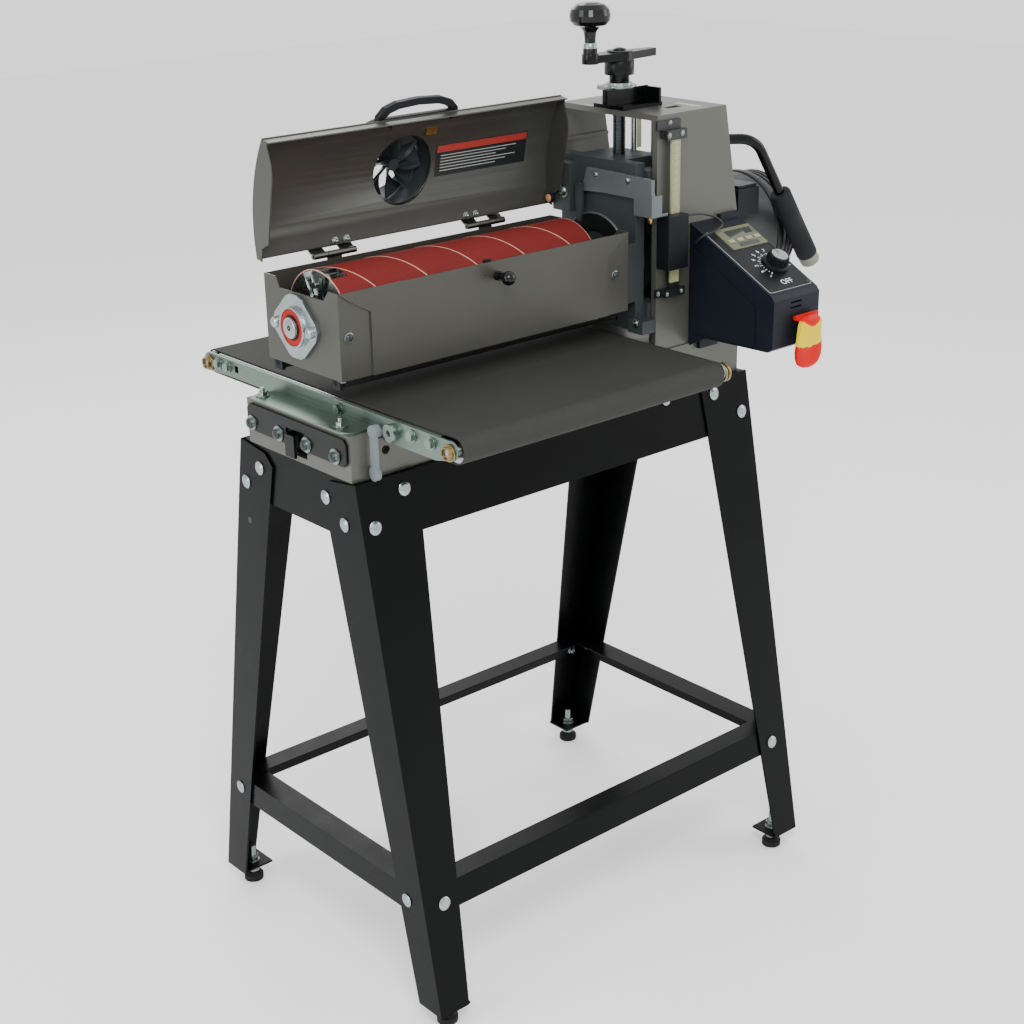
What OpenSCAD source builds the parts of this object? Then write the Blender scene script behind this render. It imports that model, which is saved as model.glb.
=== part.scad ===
// Open-end drum sander with a conveyor feed on an open steel stand.
// Units are millimetres, +Z is up and z = 0 is the floor.
// +X runs along the drum from the open outboard end to the motor; boards go in from -Y.

/* [Drum] */
// working length of the drum
drum_len = 406.4; // [380:0.1:406.4]
// radius over the abrasive wrap
drum_r = 63.4; // [58:0.1:63.5]
// height of the drum centre line with the head at rest
drum_z = 896.4; // [894:0.1:900]
// radius of the drum shaft
shaft_r = 12.7; // [10:0.1:13]

/* [Conveyor] */
// width of the conveyor belt
belt_w = 429; // [400:1:429]
// height of the top of the belt
belt_top = 805.4; // [804:0.1:806]
// thickness of the belt
belt_t = 1.6; // [1:0.1:2]
// radius of the two conveyor rollers
roller_r = 14.5; // [13:0.1:14.5]

/* [Stand] */
// height of the top of the stand
stand_top = 720.6; // [716:0.1:720.6]
// half width of the stand over the legs
stand_x = 344; // [340:0.5:344]
// half depth of the stand at the top
stand_y = 124.2; // [118:0.1:126]
// lean of the legs to the front and rear, in degrees
splay = 10.42; // [8:0.01:11]

/* [Dust cover] */
// thickness of the cover and drum housing sheet
sheet = 2; // [1.5:0.1:2.5]
// inside radius of the dust port
port_r = 46; // [44:0.1:47]

/* [Hidden] */
$fn = 64;
drum_y = -21;
drum_x0 = -310.7;
roller_z = belt_top - belt_t - 14.8;
roller_yf = -263;
roller_yr = 245;
belt_x1 = 129;
belt_x0 = belt_x1 - belt_w;
leg_len = 705.3;
screw_x = 192;
knob_x = 139;
hinge_y = 47;
hinge_z = 957;
arc_cy = -152.1;
arc_cz = 1002.6;
arc_r = 209.5;
panel_tilt = 27.02;

// ---- helpers ----
module box(x0, x1, y0, y1, z0, z1) {
    translate([x0, y0, z0]) cube([x1 - x0, y1 - y0, z1 - z0]);
}
module rod_x(r, x0, x1) {
    translate([x0, 0, 0]) rotate([0, 90, 0]) cylinder(r = r, h = x1 - x0);
}
module rod_y(r, y0, y1) {
    translate([0, y0, 0]) rotate([-90, 0, 0]) cylinder(r = r, h = y1 - y0);
}
// a flat outline in Y and Z, carried along X
module yz(x0, x1) {
    translate([x0, 0, 0]) rotate([90, 0, 90]) linear_extrude(x1 - x0) children();
}
// a flat outline in X and Z, carried along Y
module xz(y0, y1) {
    translate([0, y1, 0]) rotate([90, 0, 0]) linear_extrude(y1 - y0) children();
}
module at_drum() {
    translate([0, drum_y, drum_z]) children();
}
module mirror_x() {
    children();
    mirror([1, 0, 0]) children();
}
module mirror_y() {
    children();
    mirror([0, 1, 0]) children();
}
// the leaning plane of the front legs: y = 0 is its outer face
module front_plane() {
    translate([0, -stand_y, stand_top]) rotate([-splay, 0, 0]) children();
}
// carriage bolt with its head on y = 0, pointing along +y, and a nut
module carriage_bolt(grip) {
    translate([0, -1.6, 0]) rotate([-90, 0, 0]) cylinder(r = 9, h = 1.6);
    translate([0, -3.4, 0]) rotate([-90, 0, 0]) cylinder(r1 = 5, r2 = 9, h = 1.8);
    rod_y(4, 0, grip + 11);
    difference() {
        translate([0, grip, 0]) rotate([-90, 0, 0]) cylinder(r = 7.5, h = 6.5, $fn = 6);
        rod_y(4, grip - 1, grip + 8);
    }
}
// places a bolt on each joint of the stand; the front ones are mirrored to the rear
module at_front_bolts() {
    front_plane() for (x = [-1, 1]) {
        translate([x * 274, 0, -19.9]) children();
        translate([x * 325, 0, -56.5]) children();
        translate([x * 312, 0, -556]) children();
    }
}
module at_side_bolts() {
    for (p = [[83, 690], [117, 663], [-62, 690], [-99, 664], [-190, 176], [196, 178]])
        translate([-stand_x, p[0], p[1]]) rotate([0, 0, -90]) children();
}

// ---- stand ----
module leg() {
    difference() {
        union() {
            front_plane() translate([-stand_x, 0, 0])
                xz(0, 3) polygon([[0, 0], [94, 0], [46, -leg_len], [0, -leg_len]]);
            yz(-stand_x, -stand_x + 3) polygon([[-stand_y + 0.3, stand_top], [-70, 713],
                [-54, 698], [-205.8, 27], [-251.6, 27]]);
            box(-stand_x, -295, -250.5, -208, 26.9, 30);
        }
        front_plane() {
            translate([-274, 0, -19.9]) rod_y(4.3, -1, 4);
            translate([-325, 0, -56.5]) rod_y(4.3, -1, 4);
            translate([-312, 0, -556]) rod_y(4.3, -1, 4);
        }
        translate([-316, -228, 20]) cylinder(r = 5.3, h = 20);
    }
}
module side_holes() {
    at_side_bolts() rod_y(4.3, -1, 14);
    mirror([1, 0, 0]) at_side_bolts() rod_y(4.3, -1, 14);
}
module legs() {
    color("#17181a") difference() {
        mirror_x() mirror_y() leg();
        side_holes();
    }
}
module long_rails() {
    color("#17181a") mirror_y() difference() {
        union() {
            front_plane() box(-stand_x + 3.1, stand_x - 3.1, 3.05, 5.5, -78, 0);
            box(-stand_x + 5.6, stand_x - 5.6, -120.9, -88, 718, stand_top);
        }
        front_plane() for (x = [-1, 1]) {
            translate([x * 274, 0, -19.9]) rod_y(4.3, -1, 7);
            translate([x * 325, 0, -56.5]) rod_y(4.3, -1, 7);
        }
    }
}
module short_rails() {
    color("#17181a") difference() {
        mirror_x() {
            yz(-stand_x + 3.05, -stand_x + 5.5) polygon([[-117.5, stand_top],
                [117.5, stand_top], [131, 644], [-131, 644]]);
            box(-stand_x + 3.05, -312, -87, 87, 718, stand_top);
        }
        side_holes();
    }
}
module long_stretchers() {
    color("#17181a") mirror_y() difference() {
        union() {
            front_plane() box(-stand_x + 3.1, stand_x - 3.1, 3.05, 5.5, -570, -534);
            box(-stand_x + 3.1, stand_x - 3.1, -217.4, -186, 193, 195.5);
        }
        front_plane() for (x = [-1, 1]) translate([x * 312, 0, -556]) rod_y(4.3, -1, 7);
        mirror_x() box(-stand_x, -330, -216.5, -170, 192, 196);
    }
}
module short_stretchers() {
    color("#17181a") difference() {
        mirror_x() {
            yz(-stand_x + 3.05, -stand_x + 5.5) polygon([[-214, 192.8], [214, 192.8],
                [219, 157], [-219, 157]]);
            box(-stand_x + 3.05, -306, -214, 214, 190.3, 192.8);
        }
        side_holes();
        at_front_bolts() rod_y(8.6, 5, 20);
        mirror([0, 1, 0]) at_front_bolts() rod_y(8.6, 5, 20);
    }
}
module foot_pads() {
    color("#1c1c1c") mirror_x() mirror_y() translate([-316, -228, 0]) {
        cylinder(r = 14, h = 9);
        translate([0, 0, 9]) cylinder(r1 = 12, r2 = 9, h = 4);
    }
}
module foot_studs() {
    color("#b8bcc0") mirror_x() mirror_y() translate([-316, -228, 0]) {
        translate([0, 0, 13]) cylinder(r = 5, h = 42);
        translate([0, 0, 14]) cylinder(r = 9.2, h = 7, $fn = 6);
        translate([0, 0, 30]) cylinder(r = 10, h = 1.6);
        translate([0, 0, 31.6]) cylinder(r = 9.2, h = 7.5, $fn = 6);
    }
}
module stand_bolts() {
    color("#c6cac8") {
        mirror_y() at_front_bolts() carriage_bolt(5.5);
        mirror_x() at_side_bolts() carriage_bolt(5.5);
    }
}

// ---- base ----
module base_casting() {
    color("#7d8584") difference() {
        union() {
            box(-342, 334, -116, 105, stand_top, 768);
            box(-342, -309.2, -116, 105, 760, 779.5);
            box(138.5, 334, -116, 105, 760, 779.5);
        }
        box(-333, 325, -107, 96, stand_top - 1, 760);
        translate([-290, -117, 752]) rod_y(6, 0, 12);
        for (y = [-90, -30, 30, 90]) translate([-343, y, 750]) rod_x(3.2, 0, 12);
        box(-345, -320, -24, 15, 728, 765);
        for (y = [-80, 88]) translate([-329, y, 755]) cylinder(r = 3.2, h = 30);
    }
}
module end_plate() {
    color("#151617") difference() {
        union() {
            yz(-346, -342) polygon([[-112, 746], [-112, 769], [-106, 775], [94, 775],
                [100, 769], [100, 746], [94, 740], [19, 740], [14, 745], [14, 762],
                [-23, 762], [-23, 745], [-28, 740], [-106, 740]]);
            box(-350, -334, -17, 9, 744, 758);
            box(-354, -350, -14, 6, 729, 758);
        }
        for (y = [-90, -30, 30, 90]) translate([-347, y, 750]) rod_x(3.3, 0, 6);
    }
}

// ---- conveyor ----
module conveyor_bed() {
    color("#9aa0a2") {
        box(belt_x0 - 4.9, 133.9, -244, 226, belt_top - belt_t - 3.4, belt_top - belt_t - 0.1);
        box(belt_x0 + 4, 125, -236, -233, 781, belt_top - belt_t - 3.3);
        box(belt_x0 + 4, 125, 215, 218, 781, belt_top - belt_t - 3.3);
        for (y = [-120, 0, 110])
            box(belt_x0 - 4.9, 133.9, y - 12, y + 12, 781, belt_top - belt_t - 3.3);
    }
}
module plate_outline() {
    polygon([[roller_yf, 803], [roller_yr, 803], [roller_yr, 778], [196, 779.5],
        [130, 779.5], [-128, 779.5], [-138, 773], [-236, 773], [roller_yf, 779]]);
    translate([roller_yf, 791]) circle(r = 12);
    translate([roller_yr, 790.5]) circle(r = 12.5);
}
module bush_holes() {
    for (y = [roller_yf, roller_yr]) translate([0, y, roller_z]) rod_x(8, -400, 400);
}
module side_plate_outboard() {
    color("#b9c4c0") difference() {
        union() {
            yz(-308, -305) plate_outline();
            translate([0, 0, 779.6]) linear_extrude(2.4) polygon([[-305.1, 96], [-344, 96],
                [-344, -98], [-334, -112], [-305.1, -112]]);
            box(-305.1, -298, -232, 212, 779.6, 780.9);
        }
        bush_holes();
        translate([-310, 176, 788]) yz(0, 6) square([8, 9]);
        for (y = [-80, 88]) translate([-329, y, 770]) cylinder(r = 3.3, h = 30);
        for (y = [-229, -193, -49, 200, 223]) translate([-310, y, 792]) rod_x(2.6, 0, 6);
    }
}
module side_plate_inboard() {
    color("#b9c4c0") difference() {
        union() {
            yz(134, 137) plate_outline();
            box(136.9, 165, -112, 96, 779.6, 782);
        }
        bush_holes();
    }
}
module roller(y) {
    translate([0, y, roller_z]) {
        rod_x(roller_r, belt_x0 + 1, belt_x1 - 1);
        rod_x(6, -313, 150);
    }
}
module drive_roller() {
    color("#8e9698") {
        roller(roller_yr);
        translate([0, roller_yr, roller_z]) rod_x(5, 149, 168);
    }
}
module idler_roller() {
    color("#8e9698") roller(roller_yf);
}
module belt_ring(r) {
    translate([roller_yf, roller_z]) circle(r = r);
    translate([roller_yr, roller_z]) circle(r = r);
    translate([roller_yf, roller_z - r]) square([roller_yr - roller_yf, 2 * r]);
}
module conveyor_belt() {
    color("#33363a") yz(belt_x0, belt_x1) difference() {
        belt_ring(14.8 + belt_t);
        belt_ring(14.8);
    }
}
module roller_bushes() {
    color("#b08a4a") difference() {
        for (y = [roller_yf, roller_yr]) translate([0, y, roller_z]) {
            rod_x(8, -316, -303.5);
            rod_x(10.5, -311, -308);
            rod_x(8, 132, 149);
            rod_x(12.5, 137, 141);
            rod_x(12.5, 143, 147);
        }
        for (y = [roller_yf, roller_yr]) translate([0, y, roller_z]) rod_x(6.05, -400, 400);
    }
}
// hex screw standing out to -X from x = 0 with a washer
module side_screw(len) {
    rod_x(8, -1.5, 0);
    translate([-6, 0, 0]) rotate([0, 90, 0]) cylinder(r = 6.4, h = 4.5, $fn = 6);
    rod_x(2.5, 0, len);
}
module conveyor_fasteners() {
    color("#bfc5c4") {
        for (y = [-90, -30, 30, 90]) translate([-346, y, 750]) {
            rod_x(10, -1.5, 0);
            rod_x(6.5, -5, -1.5);
            rod_x(3, 0, 12);
        }
        for (y = [-229, -193, -49, 200, 223]) translate([-308, y, 792]) side_screw(3);
        for (y = [-80, 88]) translate([-329, y, 782]) {
            cylinder(r = 9, h = 1.6);
            translate([0, 0, 1.6]) cylinder(r = 6.4, h = 4.5, $fn = 6);
            translate([0, 0, 6.1]) cylinder(r = 3, h = 5);
            translate([0, 0, -22]) cylinder(r = 3, h = 22);
        }
        translate([0, -157, 788]) difference() {
            rod_x(11, -316, -308);
            rod_x(4, -317, -311);
        }
    }
}
module tracker_lever() {
    color("#c2c6c4") translate([0, -127, 783]) {
        rod_x(8, -318, -308.4);
        yz(-317, -313) polygon([[-6, 0], [6, 0], [6, -52], [-6, -52]]);
        translate([0, 0, -53]) rod_x(9, -318, -312);
    }
}
module gearmotor() {
    color("#2a2c2e") {
        difference() {
            box(151, 186, 196, 268, 762, 818);
            translate([0, roller_yr, roller_z]) rod_x(5.05, 140, 169);
            translate([0, roller_yr, roller_z]) rod_x(7, 140, 153);
        }
        translate([0, 226, 790]) {
            rod_x(26, 186, 262);
            rod_x(22, 262, 270);
        }
        box(137, 152, 200, 222, 780, 800);
    }
}

// ---- column ----
module column() {
    color("#6f7672") difference() {
        union() {
            xz(-114, -105) polygon([[171, 779.6], [334, 779.6], [328, 947], [301, 1096],
                [171, 1096]]);
            xz(66, 72) polygon([[171, 779.6], [300, 779.6], [268, 960], [262, 997],
                [246, 1096], [171, 1096]]);
            box(171, 301, -114, 72, 1088.5, 1096);
            box(171, 330, -114, 72, 779.6, 786);
            box(171, 251, 61, 66.5, 1044, 1049);
        }
        translate([screw_x, -21, 1080]) cylinder(r = 8.55, h = 20);
        translate([screw_x, -92, 1087]) cylinder(r = 8, h = 5);
        translate([220, -21, 1087]) cylinder(r = 4, h = 5);
        box(226, 252, -80, -68, 1080, 1100);
        for (x = [272, 290]) translate([x, -120, 788]) rod_y(3, 0, 20);
    }
}
module guide_rods() {
    color("#aeb6b8") {
        translate([screw_x, -92, 786]) cylinder(r = 8, h = 306);
        translate([screw_x, 47, 786]) cylinder(r = 8, h = 214);
        translate([220, -21, 1008]) cylinder(r = 4, h = 84);
    }
}
module lock_plate() {
    color("#1a1b1d") difference() {
        union() {
            box(170, 242, -52, 6, 1096, 1101);
            box(157, 233, -34.5, -30.5, 1101.5, 1122);
            box(160, 170.5, -34, -30.5, 1098, 1101.5);
            box(170, 233, -34, -30.5, 1100.5, 1102);
            box(229, 233, -59, -34, 1100.5, 1121);
            box(176, 208, -31, -5, 1100.5, 1121);
        }
        translate([screw_x, -21, 1090]) cylinder(r = 8.55, h = 40);
    }
}
module height_screw() {
    color("#3b4044") difference() {
        translate([screw_x, -21, 963]) cylinder(r = 8.5, h = 192);
        for (z = [966:4:1086]) translate([screw_x, -21, z]) difference() {
            cylinder(r = 10, h = 1.2);
            translate([0, 0, -1]) cylinder(r = 7.9, h = 4);
        }
    }
}
module crank_arm() {
    color("#161719") difference() {
        union() {
            translate([screw_x, -21, 1129.3]) cylinder(r = 13.5, h = 10);
            translate([screw_x, -21, 1139]) cylinder(r = 20, h = 18);
            translate([screw_x, -21, 1157]) cylinder(r = 17, h = 13);
            translate([knob_x, -21, 1157]) cylinder(r = 11, h = 13);
            translate([0, 0, 1158]) linear_extrude(10) polygon([[knob_x, -31],
                [screw_x, -37], [255, -27], [255, -15], [screw_x, -5], [knob_x, -11]]);
            translate([knob_x, -21, 1170]) cylinder(r = 9.5, h = 7);
            translate([knob_x, -21, 1170]) cylinder(r = 4, h = 52);
        }
        translate([screw_x, -21, 1120]) cylinder(r = 8.5, h = 35);
    }
}
module crank_knob() {
    color("#101113") translate([knob_x, -21, 0]) rotate_extrude() polygon([[4.05, 1178],
        [7, 1178], [7.4, 1190], [8.5, 1198], [13, 1204], [22, 1207], [26, 1212], [27, 1219],
        [25, 1227], [19, 1232.5], [10, 1235], [0, 1235.4], [0, 1225], [4.05, 1225]]);
}
module lock_lever() {
    color("#c3cbca") difference() {
        union() {
            translate([screw_x, -21, 1122.2]) cylinder(r = 23, h = 3);
            translate([screw_x, -21, 1125]) cylinder(r = 17, h = 3.6);
            translate([0, 0, 1122.2]) linear_extrude(3) polygon([[screw_x - 18, -29],
                [157, -27], [155, -21], [157, -15], [screw_x - 18, -13]]);
            translate([158, -21, 1125]) cylinder(r = 5, h = 3);
        }
        translate([screw_x, -21, 1110]) cylinder(r = 8.9, h = 40);
    }
}

// ---- head ----
module carriage() {
    color("#5d6868") difference() {
        union() {
            box(150, 166, -96, 48, 809, 1034);
            box(166, 228, -62, 22, 985, 1034);
            for (z = [812, 990]) {
                box(165.5, 205, -104, -80, z, z + 34);
                box(165.5, 205, 35, 58.5, z, z + 34);
            }
            box(133, 150.5, 14, 48, 958, 1024);
            box(127, 150.5, -96, -70, 850, 930);
            box(127, 150.5, 22, 44, 850, 930);
            box(142, 166, -118, -90, 809, 827);
            at_drum() rod_x(60, 166, 182);
        }
        at_drum() rod_x(51, 172, 200);
        at_drum() rod_x(shaft_r + 0.05, 140, 175);
        at_drum() rod_x(26, 149, 158);
        translate([screw_x, -21, 950]) cylinder(r = 8.55, h = 100);
        translate([220, -21, 950]) cylinder(r = 4.05, h = 100);
        for (y = [-92, 47]) translate([screw_x, y, 790]) cylinder(r = 8.05, h = 260);
    }
}
module reader_link() {
    color("#8a9899") {
        yz(144, 149.9) polygon([[-1, 1000], [-8, 1020], [-60, 1020], [-131, 1018],
            [-131, 996], [-100, 990], [-40, 990], [-1, 988]]);
        box(144, 149.9, -132, -98, 968, 1000);
        box(149.8, 163, -132, -129, 968, 996.7);
        box(162, 174, -132, -129, 968, 972);
    }
}
module drum_core() {
    color("#c9cdcc") at_drum() {
        difference() {
            rod_x(drum_r - 1.2, drum_x0, drum_x0 + drum_len);
            difference() {
                rod_x(drum_r - 6.2, drum_x0 + 42, drum_x0 + drum_len - 8);
                rod_x(20, drum_x0 + 41, drum_x0 + drum_len - 7);
            }
            clip_gap(drum_x0 - 1, drum_x0 + 40);
        }
        rod_x(21, drum_x0, drum_x0 + 41);
        rod_x(shaft_r, -354, drum_x0 + 1);
        rod_x(shaft_r, drum_x0 + drum_len - 1, 204);
    }
}
// the open sector at the outboard end that holds the spring clip
module clip_gap(x0, x1) {
    yz(x0, x1) polygon([[0, 0], [-31, 62], [31, 62]]);
}
module abrasive_wrap() {
    color("#8e2a28") at_drum() difference() {
        rod_x(drum_r, drum_x0, drum_x0 + drum_len - 0.7);
        rod_x(drum_r - 1.2, drum_x0 - 1, drum_x0 + drum_len + 1);
        yz(drum_x0 - 1, drum_x0 + 26) polygon([[0, 0], [-34, 68], [34, 68]]);
    }
}
module wrap_clip() {
    color("#c6ccca") at_drum() {
        yz(drum_x0 + 5, drum_x0 + 8) polygon([[-14, 30], [14, 30], [20, 55], [14, 60],
            [-14, 60], [-20, 55]]);
        box(drum_x0 + 5, drum_x0 + 34, -13, 13, 57, 59);
        translate([0, 4, 44]) rod_x(4, drum_x0 - 2, drum_x0 + 12);
        rotate([10, 0, 0]) box(drum_x0 - 1, drum_x0 + 1.5, -3, 3, 28, 56);
    }
}
module flange_bearing() {
    color("#a9b8b4") at_drum() difference() {
        union() {
            yz(-346, -341.1) polygon([[-46, 0], [-42, 11], [-16, 36], [-8, 39], [8, 39],
                [16, 36], [42, 11], [46, 0], [42, -11], [16, -36], [8, -39], [-8, -39],
                [-16, -36], [-42, -11]]);
            rod_x(25, -351, -346);
            for (y = [-36, 36]) translate([0, y, 0]) {
                rod_x(7, -351, -346);
                rod_x(4, -346, -332);
            }
        }
        rod_x(shaft_r + 0.05, -360, -340);
        rod_x(22.5, -352, -349);
    }
}
module trough_end(x0, x1, hole_r) {
    difference() {
        yz(x0, x1) polygon([[-105.5, 844.4], [46.5, 844.4], [46.5, 950.4], [23, 950.4],
            [16, 937], [-77, 937.5], [-87, 950.4], [-105.5, 950.4]]);
        at_drum() rod_x(hole_r, x0 - 1, x1 + 1);
    }
}
module front_panel_outline(inset) {
    polygon([[-341 + 3 * inset, 950.4 + inset], [-326 + inset, 939 + inset],
        [-296 + inset, 922 + inset], [-296 + inset, 840], [89 - inset, 840],
        [89 - inset, 922 + inset], [112 - inset, 939 + inset], [127 - 3 * inset, 950.4 + inset]]);
}
module trough() {
    color("#7c8684") difference() {
        union() {
            trough_end(-341, -339, shaft_r + 3);
            trough_end(125, 127, 56);
            box(-341, 127, -105.5, -105.5 + sheet, 844.4, 950.4);
            intersection() {
                xz(-108, -105) front_panel_outline(0);
                box(-341, 127, -109, -100, 844.4, 950.4);
            }
            box(-341, 127, 46.5 - 1.5, 46.5, 844.4, 950.4);
        }
        intersection() {
            xz(-106, -102) front_panel_outline(1.5);
            box(-338, 124, -109, -100, 800, 960);
        }
        translate([-102, -100, 932]) rod_y(4.05, -20, 20);
        at_drum() for (y = [-36, 36]) translate([0, y, 0]) rod_x(4.1, -342, -338);
    }
    color("#7c8684") for (x = [-328, 103])
        translate([x, -105.5, 895]) {
            rod_y(6, -2, 0.5);
            rod_y(3.4, -3.5, -1);
        }
}
// the cover sheet between its hinge edge and its free edge
module cover_arc(x0, x1, r0, r1) {
    intersection() {
        translate([0, arc_cy, arc_cz]) difference() {
            rod_x(r1, x0, x1);
            rod_x(r0, x0 - 1, x1 + 1);
        }
        yz(x0, x1) polygon([[arc_cy, arc_cz], [arc_cy + 274.8, arc_cz - 50.1],
            [arc_cy + 300, arc_cz], [arc_cy + 280, arc_cz + 170],
            [arc_cy + 237.5, arc_cz + 147.2]]);
    }
}
module port_frame() {
    translate([-119, arc_cy, arc_cz]) rotate([11.5, 0, 0]) children();
}
module dust_cover() {
    color("#75807f") difference() {
        union() {
            cover_arc(-343, 131, arc_r, arc_r + sheet);
            for (x = [-342.9, 128.9]) yz(x, x + 2) polygon([[55, 966.6], [47, 963.5],
                [43, 980], [29, 987], [13.5, 1067], [13, 1082], [20, 1104], [18.5, 1110.5],
                [27.2, 1111.5], [36.5, 1096], [43.5, 1080], [50, 1062], [56.5, 1030],
                [58.6, 1000], [57.5, 980]]);
            translate([0, 26, 1113]) rotate([10.7, 0, 0]) box(-342.8, 130.8, -12, 1, -2.2, -0.6);
        }
        port_frame() rod_y(port_r, 150, 260);
    }
}
module cover_handle() {
    color("#141517") difference() {
        translate([0, 26, 1113]) rotate([10.7, 0, 0]) {
            xz(4, 13) difference() {
                polygon([[-173, -14], [-170, 4], [-160, 14], [-142, 20], [-107, 22],
                    [-72, 20], [-54, 14], [-44, 4], [-41, -14]]);
                polygon([[-160, 1], [-152, 7], [-138, 11], [-107, 13], [-76, 11],
                    [-62, 7], [-54, 1]]);
            }
            for (x = [-160, -54]) box(x - 9, x + 9, 3, 13, -30, -13);
            for (x = [-156, -58]) translate([x, 0, -10]) rod_y(3, 2, 4.2);
        }
        translate([0, arc_cy, arc_cz]) rod_x(arc_r + sheet + 0.05, -343, 131);
    }
}
module dust_port() {
    color("#3c4346") port_frame() {
        difference() {
            union() {
                rod_y(58, 213.6, 216);
                rod_y(49.4, 212, 218.5);
                rod_y(50, 218, 266);
            }
            rod_y(port_r, 190, 270);
            translate([119, 0, 0]) rod_x(arc_r + sheet + 0.05, -343, 131);
        }
        difference() {
            rod_y(8, 228, 250);
            rod_y(3, 240, 252);
        }
        for (a = [0:45:315]) rotate([0, a, 0]) translate([7, 239, 0]) rotate([32, 0, 0])
            box(0, port_r - 6.6, -9, 9, -0.6, 0.6);
    }
}
module knuckle(x0, x1) {
    translate([0, hinge_y, hinge_z]) difference() {
        rod_x(4, x0, x1);
        rod_x(1.85, x0 - 1, x1 + 1);
    }
}
module hinge_fixed() {
    color("#a3a79f") for (x = [-235, 10.5]) {
        knuckle(x - 11, x + 11);
        difference() {
            box(x - 11, x + 11, 46.6, 48.6, 934, 955);
            translate([0, hinge_y, hinge_z]) rod_x(3, x - 12, x + 12);
        }
        box(x - 32, x + 32, 46.6, 48.4, 930, 948);
        translate([0, hinge_y, hinge_z]) rod_x(1.8, x - 34, x + 34);
    }
}
module hinge_moving() {
    color("#a3a79f") for (x = [-235, 10.5]) for (s = [-1, 1]) {
        knuckle(x + s * 22 - 10.6, x + s * 22 + 10.6);
        difference() {
            yz(x + s * 22 - 10.6, x + s * 22 + 10.6) polygon([[46, 959], [49, 958.5],
                [53.6, 964.8], [54.1, 966.4], [56.1, 982.2], [54.3, 982.4],
                [52.2, 966.8], [51.4, 965.4]]);
            translate([0, hinge_y, hinge_z]) rod_x(3, x - 40, x + 40);
        }
    }
}
module cover_latch() {
    color("#101113") translate([-102, 0, 932]) {
        rod_y(4, -122, -98);
        translate([0, -116.2, 0]) rotate([-90, 0, 0]) cylinder(r = 6, h = 8, $fn = 6);
        translate([0, -130, 0]) sphere(r = 9);
        rod_y(6.5, -101, -98);
    }
}
module press_roller(y) {
    translate([0, y, 840.2]) {
        rod_x(9, -331, 116);
        rod_x(4, -337, 122);
    }
}
module front_roller() {
    color("#23262a") press_roller(-88);
}
module rear_roller() {
    color("#23262a") press_roller(33);
}
module carrier(y) {
    difference() {
        for (x = [-337.5, 117.5]) box(x, x + 5, y - 8, y + 8, 831.2, 862);
        translate([0, y, 840.2]) rod_x(4.05, -400, 200);
    }
    box(-337.5, 122.5, y - 8, y - 5.6, 850.5, 858);
}
module front_carrier() {
    color("#2a2c2e") carrier(-88);
}
module rear_carrier() {
    color("#2a2c2e") mirror([0, 1, 0]) carrier(-33);
}
module motor() {
    color("#55595a") at_drum() difference() {
        union() {
            rod_x(59, 202, 227);
            rod_x(81, 226, 436);
            rod_x(83, 428, 440);
            rod_x(79, 439.9, 471);
            rod_x(60, 470.9, 475);
        }
        rod_x(14, 190, 234);
        difference() {
            rod_x(72, 236, 431);
            rod_x(60, 235, 432);
        }
        for (x = [449, 457, 465]) difference() {
            rod_x(90, x, x + 3);
            rod_x(77, x - 1, x + 4);
        }
    }
}
module capacitor_box() {
    color("#1b1c1e") difference() {
        union() {
            box(336, 379, -108, -76, 936, 976);
            box(339, 376, -106, -60, 976.02, 980);
            translate([384, drum_y + 46, drum_z + 96]) rod_x(18, -70, 34);
            box(340, 420, 10, 40, 960, 980);
        }
        at_drum() rod_x(81.05, 300, 425);
    }
}
// The handle's two straight runs would meet at handle_p; a bend of radius 40 joins them.
handle_a = [290, -85, 1047.6];
handle_p = [355.7, -119, 1044.9];
handle_fall = 56.5;
handle_in = (handle_p - handle_a) / norm(handle_p - handle_a);
handle_out = [cos(handle_fall), 0, -sin(handle_fall)];
handle_turn = acos(handle_in * handle_out);
handle_cut = 40 * tan(handle_turn / 2);
handle_side = (cos(handle_turn) * handle_in - handle_out) / sin(handle_turn);
handle_hub = handle_p - handle_cut * handle_in - 40 * handle_side;
handle_norm = cross(handle_side, handle_in);
module grip_frame(along) {
    translate(handle_p + along * handle_out) rotate([0, 90 + handle_fall, 0]) children();
}
module tube_handle() {
    color("#121315") {
        translate(handle_a)
            rotate([0, acos(handle_in[2]), atan2(handle_in[1], handle_in[0])])
            cylinder(r = 7, h = norm(handle_p - handle_a) - handle_cut - 0.02);
        multmatrix([[handle_side[0], handle_in[0], handle_norm[0], handle_hub[0]],
            [handle_side[1], handle_in[1], handle_norm[1], handle_hub[1]],
            [handle_side[2], handle_in[2], handle_norm[2], handle_hub[2]]])
            rotate_extrude(angle = handle_turn) translate([40, 0]) circle(r = 7);
        grip_frame(handle_cut + 0.02) cylinder(r = 7, h = 103 - handle_cut);
        box(276, 289.4, -105, -74, 1036, 1060);
    }
}
module handle_grip() {
    color("#3a3f42") grip_frame(0) difference() {
        union() {
            translate([0, 0, 100]) cylinder(r = 15, h = 115);
            translate([0, 0, 215]) cylinder(r = 14, h = 15);
            translate([0, 0, 96]) cylinder(r1 = 12, r2 = 15, h = 4);
        }
        translate([0, 0, 90]) cylinder(r = 7, h = 122);
    }
}

// ---- readout ----
module scale_strip() {
    color("#a9aa86") {
        box(188, 204, -124, -121, 866, 1070);
        for (z = [855, 1066]) box(176, 212, -121.2, -114, z, z + 11);
        box(167, 210, -118, -114, 855, 866);
        box(167, 210, -118, -114, 1077, 1089);
        box(178, 214, -126, -120.9, 1064, 1077);
        box(178, 214, -126, -120.9, 855, 866);
    }
}
module reader_head() {
    color("#17181b") difference() {
        box(168, 205.5, -140, -117, 895.5, 967.6);
        box(186.8, 207, -125.2, -116, 880, 980);
    }
}

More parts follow.
